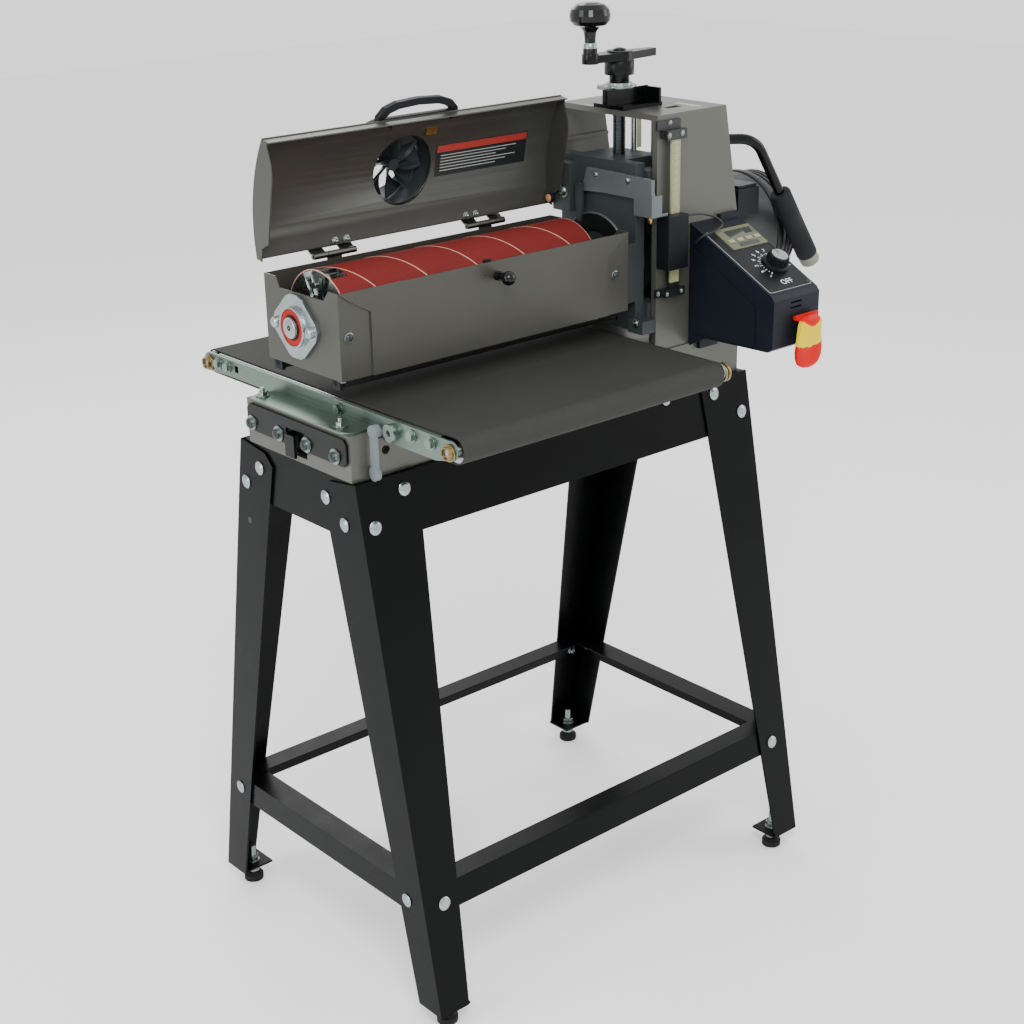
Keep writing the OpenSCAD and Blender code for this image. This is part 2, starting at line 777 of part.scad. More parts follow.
// ---- control box ----
module on_panel(x, y) {
    translate([x, y, 944 + 0.51 * (y + 119)]) rotate([panel_tilt, 0, 0]) children();
}
module control_box() {
    color("#20242e") difference() {
        union() {
            yz(235, 325) polygon([[-114, 776], [-114, 946.5], [-122, 942.4], [-262, 871],
                [-267, 865], [-266, 800], [-258, 795], [-146, 792]]);
            yz(232.5, 235.2) polygon([[-119, 797], [-119, 914], [-141, 904], [-236, 853],
                [-237, 797.5]]);
            box(288, 325, -121, -114, 938, 951);
            translate([262, -150, 786]) cylinder(r = 10, h = 10);
            box(250, 286, -122, -114, 770, 796);
        }
        translate([262, -150, 780]) cylinder(r = 4.5, h = 30);
        for (z = [850, 857]) box(268, 290, -272, -262, z, z + 2.4);
        on_panel(294, -214.5) cylinder(r = 3.05, h = 30, center = true);
        on_panel(288.5, -157) box(-34.2, 34.2, -21.7, 21.7, -8, 4);
        translate([292, -262, 812]) rod_y(9.3, -8, 8);
        translate([268, -130, 783]) rod_y(3, 0, 30);
        box(200, 340, -116.05, -100, 720, 779.65);
    }
}
module panel_bezel() {
    color("#8d9080") on_panel(288.5, -157) difference() {
        box(-34, 34, -21.5, 21.5, -4, 2.4);
        box(-20.5, 31.5, 2, 16, 1.2, 4);
        for (x = [-24.5, -7.5, 9.5, 25.5]) box(x - 5.15, x + 5.15, -9.15, -2.85, -2.4, 4);
    }
}
module panel_button(x) {
    color("#d3cfae") on_panel(288.5, -157) box(x - 5, x + 5, -9, -3, -0.9, 3.8);
}
module panel_button_1() {
    panel_button(-24.5);
}
module panel_button_2() {
    panel_button(-7.5);
}
module panel_button_3() {
    panel_button(9.5);
}
module panel_button_4() {
    panel_button(25.5);
}
module speed_knob() {
    color("#18191b") on_panel(294, -214.5) {
        translate([0, 0, 0.4]) cylinder(r1 = 19, r2 = 17.5, h = 5);
        translate([0, 0, 5.4]) cylinder(r1 = 14.5, r2 = 13, h = 13);
        translate([0, 0, -14]) cylinder(r = 3, h = 15);
        translate([0, 9, 18.4]) cylinder(r = 1.5, h = 1);
    }
}
module stop_paddle() {
    color("#c9171e") {
        translate([292, -273, 838]) rod_x(3.4, -24, 24);
        xz(-281, -274) polygon([[268, 834], [270, 841], [314, 841], [316, 834],
            [315, 814], [318, 806], [318, 792], [312, 781], [302, 776], [282, 776],
            [272, 781], [266, 792], [266, 806], [269, 814]]);
        box(270, 314, -277, -271, 834.5, 841.5);
    }
}
module start_button() {
    color("#2f8f4e") translate([292, 0, 812]) rod_y(9, -271.5, -258);
}

// thin signal lead from the reader head to the side of the control box
lead_points = [[207.3, -131, 962], [222, -131, 962.5], [240, -131.5, 960.5],
    [256, -133, 956], [266, -137, 950.5], [267, -143, 945], [257, -147.5, 941.5],
    [244, -147.5, 938], [234, -142.5, 934.5], [229.5, -136, 929], [230.5, -131, 924],
    [234, -129, 921.5]];
module readout_lead() {
    color("#121212") for (i = [0:len(lead_points) - 2]) hull() {
        translate(lead_points[i]) sphere(r = 1.5, $fn = 12);
        translate(lead_points[i + 1]) sphere(r = 1.5, $fn = 12);
    }
}

legs();
long_rails();
short_rails();
long_stretchers();
short_stretchers();
foot_pads();
foot_studs();
stand_bolts();
base_casting();
end_plate();
conveyor_bed();
side_plate_outboard();
side_plate_inboard();
drive_roller();
idler_roller();
conveyor_belt();
roller_bushes();
conveyor_fasteners();
tracker_lever();
gearmotor();
column();
guide_rods();
height_screw();
crank_arm();
crank_knob();
lock_lever();
lock_plate();
carriage();
reader_link();
drum_core();
abrasive_wrap();
wrap_clip();
flange_bearing();
trough();
dust_cover();
cover_handle();
dust_port();
hinge_fixed();
hinge_moving();
cover_latch();
front_roller();
rear_roller();
front_carrier();
rear_carrier();
motor();
capacitor_box();
tube_handle();
handle_grip();
scale_strip();
reader_head();
control_box();
panel_bezel();
panel_button_1();
panel_button_2();
panel_button_3();
panel_button_4();
speed_knob();
stop_paddle();
start_button();
readout_lead();
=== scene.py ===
"""Open-end drum sander on its stand: materials, small parts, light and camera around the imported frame."""
import math

import bpy
import bmesh
from mathutils import Matrix, Vector


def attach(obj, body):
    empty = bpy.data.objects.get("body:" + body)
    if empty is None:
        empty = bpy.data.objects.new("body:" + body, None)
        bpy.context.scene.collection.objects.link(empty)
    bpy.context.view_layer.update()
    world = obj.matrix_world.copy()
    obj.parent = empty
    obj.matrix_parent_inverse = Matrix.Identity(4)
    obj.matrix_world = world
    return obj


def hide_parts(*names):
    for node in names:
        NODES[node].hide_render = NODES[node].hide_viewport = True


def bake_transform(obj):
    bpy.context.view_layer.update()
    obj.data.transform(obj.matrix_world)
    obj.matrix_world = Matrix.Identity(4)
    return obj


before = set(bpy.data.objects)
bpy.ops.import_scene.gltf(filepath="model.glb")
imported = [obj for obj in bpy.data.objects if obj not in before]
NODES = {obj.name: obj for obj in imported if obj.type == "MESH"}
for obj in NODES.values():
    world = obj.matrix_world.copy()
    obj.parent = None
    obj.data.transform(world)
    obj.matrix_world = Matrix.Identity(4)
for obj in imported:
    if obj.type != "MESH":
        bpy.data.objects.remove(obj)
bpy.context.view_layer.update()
MM = 0.001


def mm(*values):
    """A point given in millimetres, as a vector in metres."""
    return Vector([v * MM for v in values])


# ---------------------------------------------------------------- camera, light and floor
CAMERA_AT = (-1492.9, -1757.0, 1456.0)
CAMERA_RIGHT = (0.7531, -0.6577, -0.0177)
CAMERA_UP = (0.2508, 0.2621, 0.9319)
CAMERA_LENS = 62.63
CAMERA_SENSOR = 36.0
CAMERA_SHIFT = (-0.0072, 0.0003)

WORLD_STRENGTH = 1.45
LIGHT_AIM = (0.05, 0.0, 0.8)
WHITE = (1, 1, 1)
COOL_WHITE = (0.93, 0.97, 1.0)
# name, place and (width, height) in metres, watts, colour
LIGHTS = [("key", (-1.6, -2.2, 3.0), (1.3, 1.3), 95, WHITE),
          ("left", (-3.2, 0.3, 1.6), (1.4, 2.4), 46, COOL_WHITE),
          ("right", (2.6, -1.6, 1.8), (1.2, 2.0), 26, WHITE),
          ("back", (0.8, 2.8, 2.4), (2.4, 1.4), 30, WHITE)]
FLOOR_HALF = 9
FLOOR_Z = -0.0005


def make_camera():
    right = Vector(CAMERA_RIGHT).normalized()
    up = Vector(CAMERA_UP)
    up = (up - right * up.dot(right)).normalized()
    back = right.cross(up)
    turn = Matrix((right, up, back)).transposed().to_4x4()
    data = bpy.data.cameras.new("camera")
    data.lens = CAMERA_LENS
    data.sensor_width = CAMERA_SENSOR
    data.shift_x, data.shift_y = CAMERA_SHIFT
    data.clip_start = 0.05
    data.clip_end = 50.0
    camera = bpy.data.objects.new("camera", data)
    camera.matrix_world = Matrix.Translation(mm(*CAMERA_AT)) @ turn
    bpy.context.scene.collection.objects.link(camera)
    bpy.context.scene.camera = camera


def area_light(name, at, size, power, colour):
    data = bpy.data.lights.new(name, "AREA")
    data.shape = "RECTANGLE"
    data.size, data.size_y = size
    data.energy = power
    data.color = colour
    light = bpy.data.objects.new(name, data)
    light.location = at
    aim = Vector(LIGHT_AIM) - Vector(at)
    light.rotation_euler = aim.to_track_quat("-Z", "Y").to_euler()
    bpy.context.scene.collection.objects.link(light)


def make_studio():
    world = bpy.data.worlds.new("studio")
    world.use_nodes = True
    ground = world.node_tree.nodes["Background"]
    ground.inputs["Color"].default_value = (*WHITE, 1)
    ground.inputs["Strength"].default_value = WORLD_STRENGTH
    bpy.context.scene.world = world
    for light in LIGHTS:
        area_light(*light)
    floor = bpy.data.meshes.new("floor")
    corners = [(x * FLOOR_HALF, y * FLOOR_HALF, FLOOR_Z) for x, y in ((-1, -1), (1, -1), (1, 1), (-1, 1))]
    floor.from_pydata(corners, [], [(0, 1, 2, 3)])
    stage = bpy.data.objects.new("floor", floor)
    bpy.context.scene.collection.objects.link(stage)
    stage.data.materials.append(plain("floor_white", (0.93, 0.93, 0.93), 0.65))


# ---------------------------------------------------------------- materials
# sockets of a colour mix node, which share their names and are told apart by number
MIX_FACTOR, MIX_A, MIX_B, MIX_OUT = 0, 6, 7, 2


def new_material(name):
    material = bpy.data.materials.new(name)
    material.use_nodes = True
    tree = material.node_tree
    return material, tree, tree.nodes["Principled BSDF"]


def plain(name, colour, rough, coat=0.0):
    """An even colour, for small flat parts."""
    material, tree, shader = new_material(name)
    shader.inputs["Base Color"].default_value = (*colour, 1)
    shader.inputs["Roughness"].default_value = rough
    shader.inputs["Coat Weight"].default_value = coat
    return material


def add(tree, kind, **values):
    """A shader node; each value goes to the socket of that name, or else to the node itself."""
    node = tree.nodes.new(kind)
    for key, value in values.items():
        if key in node.inputs:
            node.inputs[key].default_value = value
        else:
            setattr(node, key, value)
    return node


def place(tree, stretch=(1, 1, 1)):
    """Object coordinates, stretched."""
    where = tree.nodes.new("ShaderNodeTexCoord")
    mapping = tree.nodes.new("ShaderNodeMapping")
    mapping.inputs["Scale"].default_value = stretch
    tree.links.new(where.outputs["Object"], mapping.inputs["Vector"])
    return mapping.outputs["Vector"]


def noise(tree, vector, scale, detail=3.0, rough=0.5):
    """Noise over the part; scale counts its cells in a metre."""
    node = add(tree, "ShaderNodeTexNoise", Scale=scale, Detail=detail, Roughness=rough)
    tree.links.new(vector, node.inputs["Vector"])
    return node.outputs["Fac"]


def ramp(tree, fac, stops):
    """A colour ramp through (position, colour) stops."""
    node = tree.nodes.new("ShaderNodeValToRGB")
    band = node.color_ramp
    band.elements[0].position, band.elements[0].color = stops[0][0], (*stops[0][1], 1)
    band.elements[1].position, band.elements[1].color = stops[-1][0], (*stops[-1][1], 1)
    for position, colour in stops[1:-1]:
        element = band.elements.new(position)
        element.color = (*colour, 1)
    tree.links.new(fac, node.inputs["Fac"])
    return node.outputs["Color"]


def bump(tree, shader, height, strength, distance):
    node = add(tree, "ShaderNodeBump", Strength=strength, Distance=distance)
    tree.links.new(height, node.inputs["Height"])
    tree.links.new(node.outputs["Normal"], shader.inputs["Normal"])


def shade(colour, factor):
    """A colour made lighter or darker, and no lighter than white."""
    return tuple(min(1.0, c * factor) for c in colour)


def vary_colour(tree, fac, colour, below, above):
    """The colour, darker where the noise is low and lighter where it is high."""
    return ramp(tree, fac, [(0.3, shade(colour, below)), (0.7, shade(colour, above))])


def vary_gloss(tree, shader, fac, rough, below=0.85, above=1.15):
    """Drives the roughness by the noise, around its mean."""
    gloss = ramp(tree, fac, [(0.3, (rough * below,) * 3), (0.7, (rough * above,) * 3)])
    tree.links.new(gloss, shader.inputs["Roughness"])


def painted(name, colour, rough, metal=0.0, grain=900.0, depth=0.00006, vary=0.12, coat=0.0,
            gleam=0.5):
    """Sprayed paint: fine orange peel, a little unevenness in colour and gloss."""
    material, tree, shader = new_material(name)
    vector = place(tree)
    patch = noise(tree, vector, 7.0, 4.0)
    tone = vary_colour(tree, patch, colour, 1 - vary, 1 + vary)
    tree.links.new(tone, shader.inputs["Base Color"])
    vary_gloss(tree, shader, noise(tree, vector, 22.0, 3.0), rough)
    bump(tree, shader, noise(tree, vector, grain, 2.0), 0.35, depth)
    shader.inputs["Metallic"].default_value = metal
    shader.inputs["Coat Weight"].default_value = coat
    shader.inputs["Coat Roughness"].default_value = 0.18
    shader.inputs["Specular IOR Level"].default_value = gleam
    return material


def metal(name, colour, rough, stretch=(1, 1, 1), streak=160.0, vary=0.10, depth=0.00003):
    """Bare or plated metal with fine drawn streaks along the unstretched axis."""
    material, tree, shader = new_material(name)
    vector = place(tree, stretch)
    lines = noise(tree, vector, streak, 4.0, 0.6)
    tone = vary_colour(tree, lines, colour, 1 - vary, 1 + vary)
    tree.links.new(tone, shader.inputs["Base Color"])
    vary_gloss(tree, shader, lines, rough, 0.8, 1.25)
    bump(tree, shader, lines, 0.25, depth)
    shader.inputs["Metallic"].default_value = 1.0
    return material


def abrasive(name, colour, rough, grit, depth, vary):
    """Grit bonded on cloth: two sizes of grain, specks of lighter mineral."""
    material, tree, shader = new_material(name)
    vector = place(tree)
    fine = noise(tree, vector, grit, 6.0, 0.7)
    light, dark = shade(colour, 1 + 1.6 * vary), shade(colour, 1 - vary)
    tone = ramp(tree, fine, [(0.30, dark), (0.55, colour), (0.74, light)])
    patch = noise(tree, vector, 9.0, 4.0)
    mix = add(tree, "ShaderNodeMix", data_type="RGBA", blend_type="MULTIPLY")
    mix.inputs[MIX_FACTOR].default_value = 0.5
    tree.links.new(tone, mix.inputs[MIX_A])
    tree.links.new(vary_colour(tree, patch, WHITE, 0.78, 1.0), mix.inputs[MIX_B])
    tree.links.new(mix.outputs[MIX_OUT], shader.inputs["Base Color"])
    shader.inputs["Roughness"].default_value = rough
    shader.inputs["Specular IOR Level"].default_value = 0.18
    bump(tree, shader, fine, 0.6, depth)
    return material


def zoned(name, inside, outside, axis, low, high, rough, sheen=0.0, grain=700.0, depth=0.00006):
    """Paint that changes colour where the part passes two places, in metres, along one axis."""
    material, tree, shader = new_material(name)
    where = tree.nodes.new("ShaderNodeTexCoord")
    split = tree.nodes.new("ShaderNodeSeparateXYZ")
    tree.links.new(where.outputs["Object"], split.inputs[0])
    above, below, both = (tree.nodes.new("ShaderNodeMath") for _ in range(3))
    above.operation, below.operation, both.operation = "GREATER_THAN", "LESS_THAN", "MULTIPLY"
    above.inputs[1].default_value = low
    below.inputs[1].default_value = high
    tree.links.new(split.outputs[axis], above.inputs[0])
    tree.links.new(split.outputs[axis], below.inputs[0])
    tree.links.new(above.outputs[0], both.inputs[0])
    tree.links.new(below.outputs[0], both.inputs[1])
    patch = noise(tree, where.outputs["Object"], 9.0, 4.0)
    mix = add(tree, "ShaderNodeMix", data_type="RGBA")
    tree.links.new(both.outputs[0], mix.inputs[MIX_FACTOR])
    for socket, colour in ((MIX_A, outside), (MIX_B, inside)):
        tree.links.new(vary_colour(tree, patch, colour, 0.9, 1.1), mix.inputs[socket])
    tree.links.new(mix.outputs[MIX_OUT], shader.inputs["Base Color"])
    vary_gloss(tree, shader, noise(tree, where.outputs["Object"], 24.0), rough)
    bump(tree, shader, noise(tree, where.outputs["Object"], grain, 2.0), 0.3, depth)
    shader.inputs["Metallic"].default_value = sheen
    return material


def plastic(name, colour, rough, grain=2200.0, depth=0.00005):
    """Moulded plastic with a fine texture."""
    return painted(name, colour, rough, grain=grain, depth=depth, vary=0.06, gleam=0.15)


# takes the display colours down to suit the bright studio
BRIGHTNESS = 0.66


def linear(hexcode):
    """A display colour as the paint's own linear colour."""
    out = []
    for i in (0, 2, 4):
        c = int(hexcode[i:i + 2], 16) / 255
        out.append(BRIGHTNESS * (c / 12.92 if c <= 0.04045 else ((c + 0.055) / 1.055) ** 2.4))
    return tuple(out)


MATERIALS = {}


def make_materials():
    m = MATERIALS
    m["stand"] = painted("stand_powder_black", linear("050607"), 0.30, grain=700.0, vary=0.10, gleam=0.09)
    m["sheet"] = painted("sheet_metallic_grey", linear("52524c"), 0.36, metal=0.55, grain=1300.0,
                         depth=0.00003, vary=0.05)
    m["sheet_in"] = painted("cover_metallic_grey", linear("595a55"), 0.33, metal=0.6, grain=1300.0,
                            depth=0.00002, vary=0.05)
    m["casting"] = painted("casting_metallic_grey", linear("60615a"), 0.42, metal=0.5, grain=420.0,
                           depth=0.00012, vary=0.08, coat=0.15)
    m["head"] = painted("head_casting_grey", linear("3d4445"), 0.48, metal=0.3, grain=420.0,
                        depth=0.00014, vary=0.10, gleam=0.3)
    m["link"] = painted("link_plate_grey", linear("6c7678"), 0.35, metal=0.5, depth=0.00005, vary=0.07,
                        coat=0.1)
    m["zinc"] = metal("zinc_plate", linear("98a6a0"), 0.30, streak=60.0, vary=0.16)
    m["bright_zinc"] = metal("bright_zinc", linear("b9c3c4"), 0.26, streak=50.0, vary=0.12)
    m["hinge"] = metal("hinge_steel", linear("7c7e76"), 0.34, stretch=(1, 60, 60), streak=12.0, vary=0.12)
    m["zinc_side"] = metal("zinc_drawn", linear("84968c"), 0.33, stretch=(40, 1, 40), streak=14.0,
                           vary=0.12)
    m["steel"] = metal("bright_steel", linear("c9ced0"), 0.22, stretch=(60, 60, 1), streak=9.0)
    m["steel_x"] = metal("bright_steel_turned", linear("b9bfc0"), 0.24, stretch=(60, 1, 1), streak=12.0)
    m["screw"] = metal("oiled_screw", linear("4a5154"), 0.30, stretch=(1, 1, 60), streak=9.0, vary=0.15)
    m["bronze"] = metal("bronze", linear("a08d62"), 0.34, streak=90.0, vary=0.14)
    m["brass"] = metal("brass", linear("c9ab62"), 0.30, streak=90.0, vary=0.12)
    m["copper"] = plain("bumper_copper", linear("d48f63"), 0.45)
    m["alu"] = metal("aluminium_extrusion", linear("cfd3d2"), 0.26, stretch=(1, 50, 50), streak=14.0)
    m["belt"] = abrasive("conveyor_belt_cloth", linear("3a3b38"), 0.72, grit=1500.0, depth=0.00022,
                         vary=0.5)
    m["wrap"] = abrasive("abrasive_red", linear("7e2320"), 0.72, grit=1900.0, depth=0.00016, vary=0.28)
    m["seam"] = plain("wrap_seam_tan", linear("d8a48e"), 0.7)
    m["black"] = painted("black_enamel", linear("070809"), 0.24, grain=500.0, depth=0.00004, vary=0.10,
                         gleam=0.2)
    # also used for the drive end ring on the carriage, which is partly painted shade
    m["black_matt"] = painted("black_oxide", linear("0d0e0f"), 0.50, grain=500.0, gleam=0.2)
    m["gloss"] = painted("gloss_black_plastic", linear("0b0c0d"), 0.12, grain=400.0, depth=0.00001,
                         vary=0.06, gleam=0.3)
    m["moulded"] = plastic("moulded_black", linear("131417"), 0.40)
    m["navy"] = plastic("control_box_navy", linear("161b24"), 0.42, grain=1700.0, depth=0.00007)
    m["rubber"] = painted("black_rubber", linear("141516"), 0.72, depth=0.00010, vary=0.10, gleam=0.2)
    m["grip"] = painted("grip_foam", linear("1d2022"), 0.75, grain=1100.0, depth=0.00018, gleam=0.2)
    m["cap"] = plastic("grip_cap_beige", linear("8d9080"), 0.5)
    m["motor"] = zoned("motor_paint", linear("3a3e3f"), linear("101113"), axis="X", low=-1.0,
                       high=0.4275, rough=0.44, sheen=0.25, grain=380.0, depth=0.00012)
    m["scale"] = metal("scale_steel", linear("b4b690"), 0.42, streak=80.0, vary=0.06)
    m["scale_strip"] = zoned("scale_strip_paint", linear("a3a67c"), linear("131416"), axis="Z",
                             low=0.874, high=1.064, rough=0.40)
    m["bezel"] = plastic("bezel_olive", linear("74765f"), 0.36)
    m["lcd"] = plain("lcd_glass", linear("4a5046"), 0.10, coat=0.5)
    # flat dark colour for printed marks, also used as painted shade in the screw sockets, the spare hole and
    # the display
    m["ink"] = plain("print_and_painted_shade", linear("17191a"), 0.5)
    m["button"] = plastic("button_cream", linear("a9a78c"), 0.45)
    m["white"] = plain("dial_white", linear("e4e6e2"), 0.5)
    m["red"] = painted("paddle_red", linear("d80a08"), 0.32, depth=0.00003, vary=0.05, gleam=0.12)
    m["yellow"] = painted("paddle_yellow", linear("f8d800"), 0.34, depth=0.00003, vary=0.04, gleam=0.08)
    m["seal"] = painted("seal_red", linear("b01f12"), 0.5, grain=1500.0, vary=0.08, gleam=0.12)
    m["green"] = plain("start_green", linear("2f8f4e"), 0.3)
    m["port"] = plastic("port_grey", linear("2f3437"), 0.36)
    m["label"] = plain("label_dark", linear("15181b"), 0.35, coat=0.3)
    m["label_red"] = plain("label_red", linear("a8322a"), 0.38, coat=0.3)
    m["lead"] = plain("lead_black", linear("121314"), 0.45)
    m["lever"] = plastic("lever_grey", linear("7b8587"), 0.42)
    m["panel"] = plastic("panel_navy", linear("12151a"), 0.34, grain=1700.0, depth=0.00003)
    # a light grey rim round the control box's face plate: painted highlight for its lit edge
    m["edge_highlight_grey"] = plain("edge_painted_highlight", linear("a9b0b0"), 0.5)
    m["label_grey"] = plain("label_grey", linear("b4b8b4"), 0.45)
    m["tag"] = plain("tag_pale", linear("b9bcae"), 0.42)
    m["cap_silver"] = metal("knob_cap_silver", linear("c6c9c9"), 0.25, streak=120.0, vary=0.06)


# the look of every CAD node that stays visible
CAD_LOOK = {
    "stand": ["legs", "long_rails", "short_rails", "long_stretchers", "short_stretchers"],
    "rubber": ["foot_pads", "front_roller", "rear_roller"],
    "zinc": ["foot_studs", "conveyor_fasteners", "lock_lever", "wrap_clip"],
    "bright_zinc": ["flange_bearing", "stand_bolts"],
    "hinge": ["hinge_fixed"],
    "zinc_side": ["side_plate_outboard", "side_plate_inboard"],
    "casting": ["base_casting", "column"],
    "black": ["end_plate", "lock_plate", "crank_arm", "tube_handle"],
    "steel": ["guide_rods"],
    "steel_x": ["drive_roller", "idler_roller", "conveyor_bed"],
    "screw": ["height_screw"],
    "lever": ["tracker_lever"],
    "bronze": ["roller_bushes"],
    "alu": ["drum_core"],
    "belt": ["conveyor_belt"],
    "wrap": ["abrasive_wrap"],
    "head": ["carriage"],
    "link": ["reader_link"],
    "sheet": ["trough"],
    "sheet_in": ["dust_cover"],
    "port": ["dust_port"],
    "gloss": ["crank_knob", "cover_latch"],
    "moulded": ["cover_handle", "capacitor_box", "reader_head", "front_carrier", "rear_carrier"],
    "black_matt": ["gearmotor"],
    "motor": ["motor"],
    "scale_strip": ["scale_strip"],
    "navy": ["control_box"],
    "bezel": ["panel_bezel"],
    "button": ["panel_button_1", "panel_button_2", "panel_button_3", "panel_button_4"],
    "green": ["start_button"],
}
# how far the edges of each CAD node are rounded, in millimetres; little on the bezel, so that the
# corners of its pockets stay clear of the buttons
SOFT_EDGE = {
    3.0: ["base_casting", "capacitor_box"],
    2.5: ["column"],
    2.2: ["control_box"],
    2.0: ["cover_handle", "gearmotor"],
    1.5: ["carriage", "crank_arm", "motor"],
    1.2: ["legs", "reader_head"],
    1.0: ["long_rails", "short_rails", "long_stretchers", "short_stretchers"],
    0.8: ["end_plate", "flange_bearing", "tracker_lever", "foot_pads"],
    0.5: ["trough", "lock_plate", "reader_link", "conveyor_fasteners", "stand_bolts", "lock_lever"],
    0.4: ["dust_cover", "side_plate_outboard", "foot_studs", "scale_strip", "wrap_clip", "roller_bushes"],
    0.25: ["panel_bezel"],
}
WELD_DISTANCE = 0.000005
FLAT_WITHIN = math.radians(0.6)
SHARP_OVER = math.radians(38)


def soften(obj, width):
    """Rounds the sharp edges of a CAD node by width millimetres; its own mesh stays as it is."""
    weld = obj.modifiers.new("weld", "WELD")
    weld.merge_threshold = WELD_DISTANCE
    flat = obj.modifiers.new("flat", "DECIMATE")
    flat.decimate_type = "DISSOLVE"
    flat.angle_limit = FLAT_WITHIN
    bevel = obj.modifiers.new("bevel", "BEVEL")
    bevel.width = width * MM
    bevel.segments = 2
    bevel.limit_method = "ANGLE"
    bevel.angle_limit = SHARP_OVER
    bevel.harden_normals = True


def dress_cad():
    for look, names in CAD_LOOK.items():
        for name in names:
            NODES[name].data.materials.clear()
            NODES[name].data.materials.append(MATERIALS[look])
    for width, names in SOFT_EDGE.items():
        for name in names:
            soften(NODES[name], width)


# ---------------------------------------------------------------- mesh helpers
X_AXIS, Z_AXIS = (1, 0, 0), (0, 0, 1)
DOUBLE_WITHIN = 1e-6


def piece(name, verts, faces, look, body, smooth):
    """A new visible piece that rides on a body; edges sharper than smooth degrees stay sharp."""
    mesh = bpy.data.meshes.new(name)
    mesh.from_pydata([tuple(v) for v in verts], [], faces)
    mesh.update()
    bm = bmesh.new()
    bm.from_mesh(mesh)
    bmesh.ops.remove_doubles(bm, verts=bm.verts, dist=DOUBLE_WITHIN)
    bmesh.ops.recalc_face_normals(bm, faces=bm.faces)
    bm.to_mesh(mesh)
    bm.free()
    mesh.shade_smooth()
    mesh.set_sharp_from_angle(angle=math.radians(smooth))
    obj = bpy.data.objects.new(name, mesh)
    bpy.context.scene.collection.objects.link(obj)
    obj.data.materials.append(MATERIALS[look])
    if body:
        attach(obj, body)
    return obj


def joined(*parts):
    """Joins (verts, faces) lists into one."""
    verts, faces = [], []
    for v, f in parts:
        base = len(verts)
        verts += list(v)
        faces += [tuple(i + base for i in face) for face in f]
    return verts, faces


def skin(rows, sides):
    """Quads between rows of points, each row a closed loop of the same number of points."""
    faces = []
    for i in range(rows - 1):
        for k in range(sides):
            n = (k + 1) % sides
            faces.append((i * sides + k, i * sides + n, (i + 1) * sides + n, (i + 1) * sides + k))
    return faces


def block(x0, x1, y0, y1, z0, z1):
    """A box between two corners in millimetres."""
    corners = [(x, y, z) for x in (x0, x1) for y in (y0, y1) for z in (z0, z1)]
    faces = [(0, 1, 3, 2), (4, 6, 7, 5), (0, 4, 5, 1), (2, 3, 7, 6), (0, 2, 6, 4), (1, 5, 7, 3)]
    return [mm(*c) for c in corners], faces


def lathe(profile, at, axis, sides=48):
    """Turns (radius, along) points, in millimetres, about an axis through at."""
    axis = Vector(axis).normalized()
    side = axis.orthogonal().normalized()
    other = axis.cross(side)
    verts = []
    for radius, along in profile:
        for k in range(sides):
            a = 2 * math.pi * k / sides
            verts.append(mm(*at) + (axis * along + (side * math.cos(a) + other * math.sin(a)) * radius) * MM)
    faces = skin(len(profile), sides)
    if profile[0][0] > 0.01:
        faces.append(tuple(range(sides)))
    if profile[-1][0] > 0.01:
        faces.append(tuple(reversed(range((len(profile) - 1) * sides, len(profile) * sides))))
    return verts, faces


def ring(r_in, r_out, a0, a1, at, axis, sides=64, edge=0.4):
    """A flat ring between two places along its axis, with its corners cut by edge."""
    profile = [(r_in, a0 + edge), (r_in + edge, a0), (r_out - edge, a0), (r_out, a0 + edge),
               (r_out, a1 - edge), (r_out - edge, a1), (r_in + edge, a1), (r_in, a1 - edge),
               (r_in, a0 + edge)]
    verts, faces = lathe(profile, at, axis, sides)
    return verts, faces[:-2]


def prism(outline, low, high, put):
    """An outline carried from low to high; put(u, v, w) gives the point in millimetres."""
    n = len(outline)
    verts = [mm(*put(u, v, low)) for u, v in outline] + [mm(*put(u, v, high)) for u, v in outline]
    faces = [tuple(reversed(range(n))), tuple(range(n, 2 * n))]
    faces += [(i, (i + 1) % n, (i + 1) % n + n, i + n) for i in range(n)]
    return verts, faces


def rounded(width, height, radius, steps=6):
    """A rounded rectangle's outline about its middle."""
    points = []
    for k, (cx, cy) in enumerate([(1, 1), (-1, 1), (-1, -1), (1, -1)]):
        for i in range(steps + 1):
            a = math.radians(90 * k + 90 * i / steps)
            points.append((cx * (width / 2 - radius) + radius * math.cos(a),
                           cy * (height / 2 - radius) + radius * math.sin(a)))
    return points


DOME_STEPS = 6


def dome(radius, height, at, axis, sides=32, foot=0.0):
    """A round head: a short foot and a cap of the given height."""
    profile = [(radius, 0.0), (radius, foot)]
    for i in range(1, DOME_STEPS + 1):
        a = math.radians(90 * i / DOME_STEPS)
        profile.append((max(radius * math.cos(a), 0.02), foot + height * math.sin(a)))
    return lathe(profile, at, axis, sides)


def smooth_path(points, steps):
    """A Catmull-Rom curve through the points."""
    out = []
    for i in range(len(points) - 1):
        p0 = points[max(i - 1, 0)]
        p1, p2 = points[i], points[i + 1]
        p3 = points[min(i + 2, len(points) - 1)]
        for k in range(steps):
            t = k / steps
            out.append(0.5 * ((2 * p1) + (p2 - p0) * t + (2 * p0 - 5 * p1 + 4 * p2 - p3) * t * t
                              + (3 * p1 - p0 - 3 * p2 + p3) * t ** 3))
    out.append(points[-1].copy())
    return out


def tube(path, radius, sides):
    """A round tube along a path, with its ends closed."""
    verts = []
    normal = None
    for i, point in enumerate(path):
        ahead = path[min(i + 1, len(path) - 1)] - path[max(i - 1, 0)]
        ahead.normalize()
        if normal is None:
            normal = ahead.orthogonal().normalized()
        normal = (normal - ahead * normal.dot(ahead)).normalized()
        other = ahead.cross(normal)
        for k in range(sides):
            a = 2 * math.pi * k / sides
            verts.append(point + (normal * math.cos(a) + other * math.sin(a)) * radius)
    faces = skin(len(path), sides)
    faces.append(tuple(reversed(range(sides))))
    faces.append(tuple(range((len(path) - 1) * sides, len(path) * sides)))
    return verts, faces


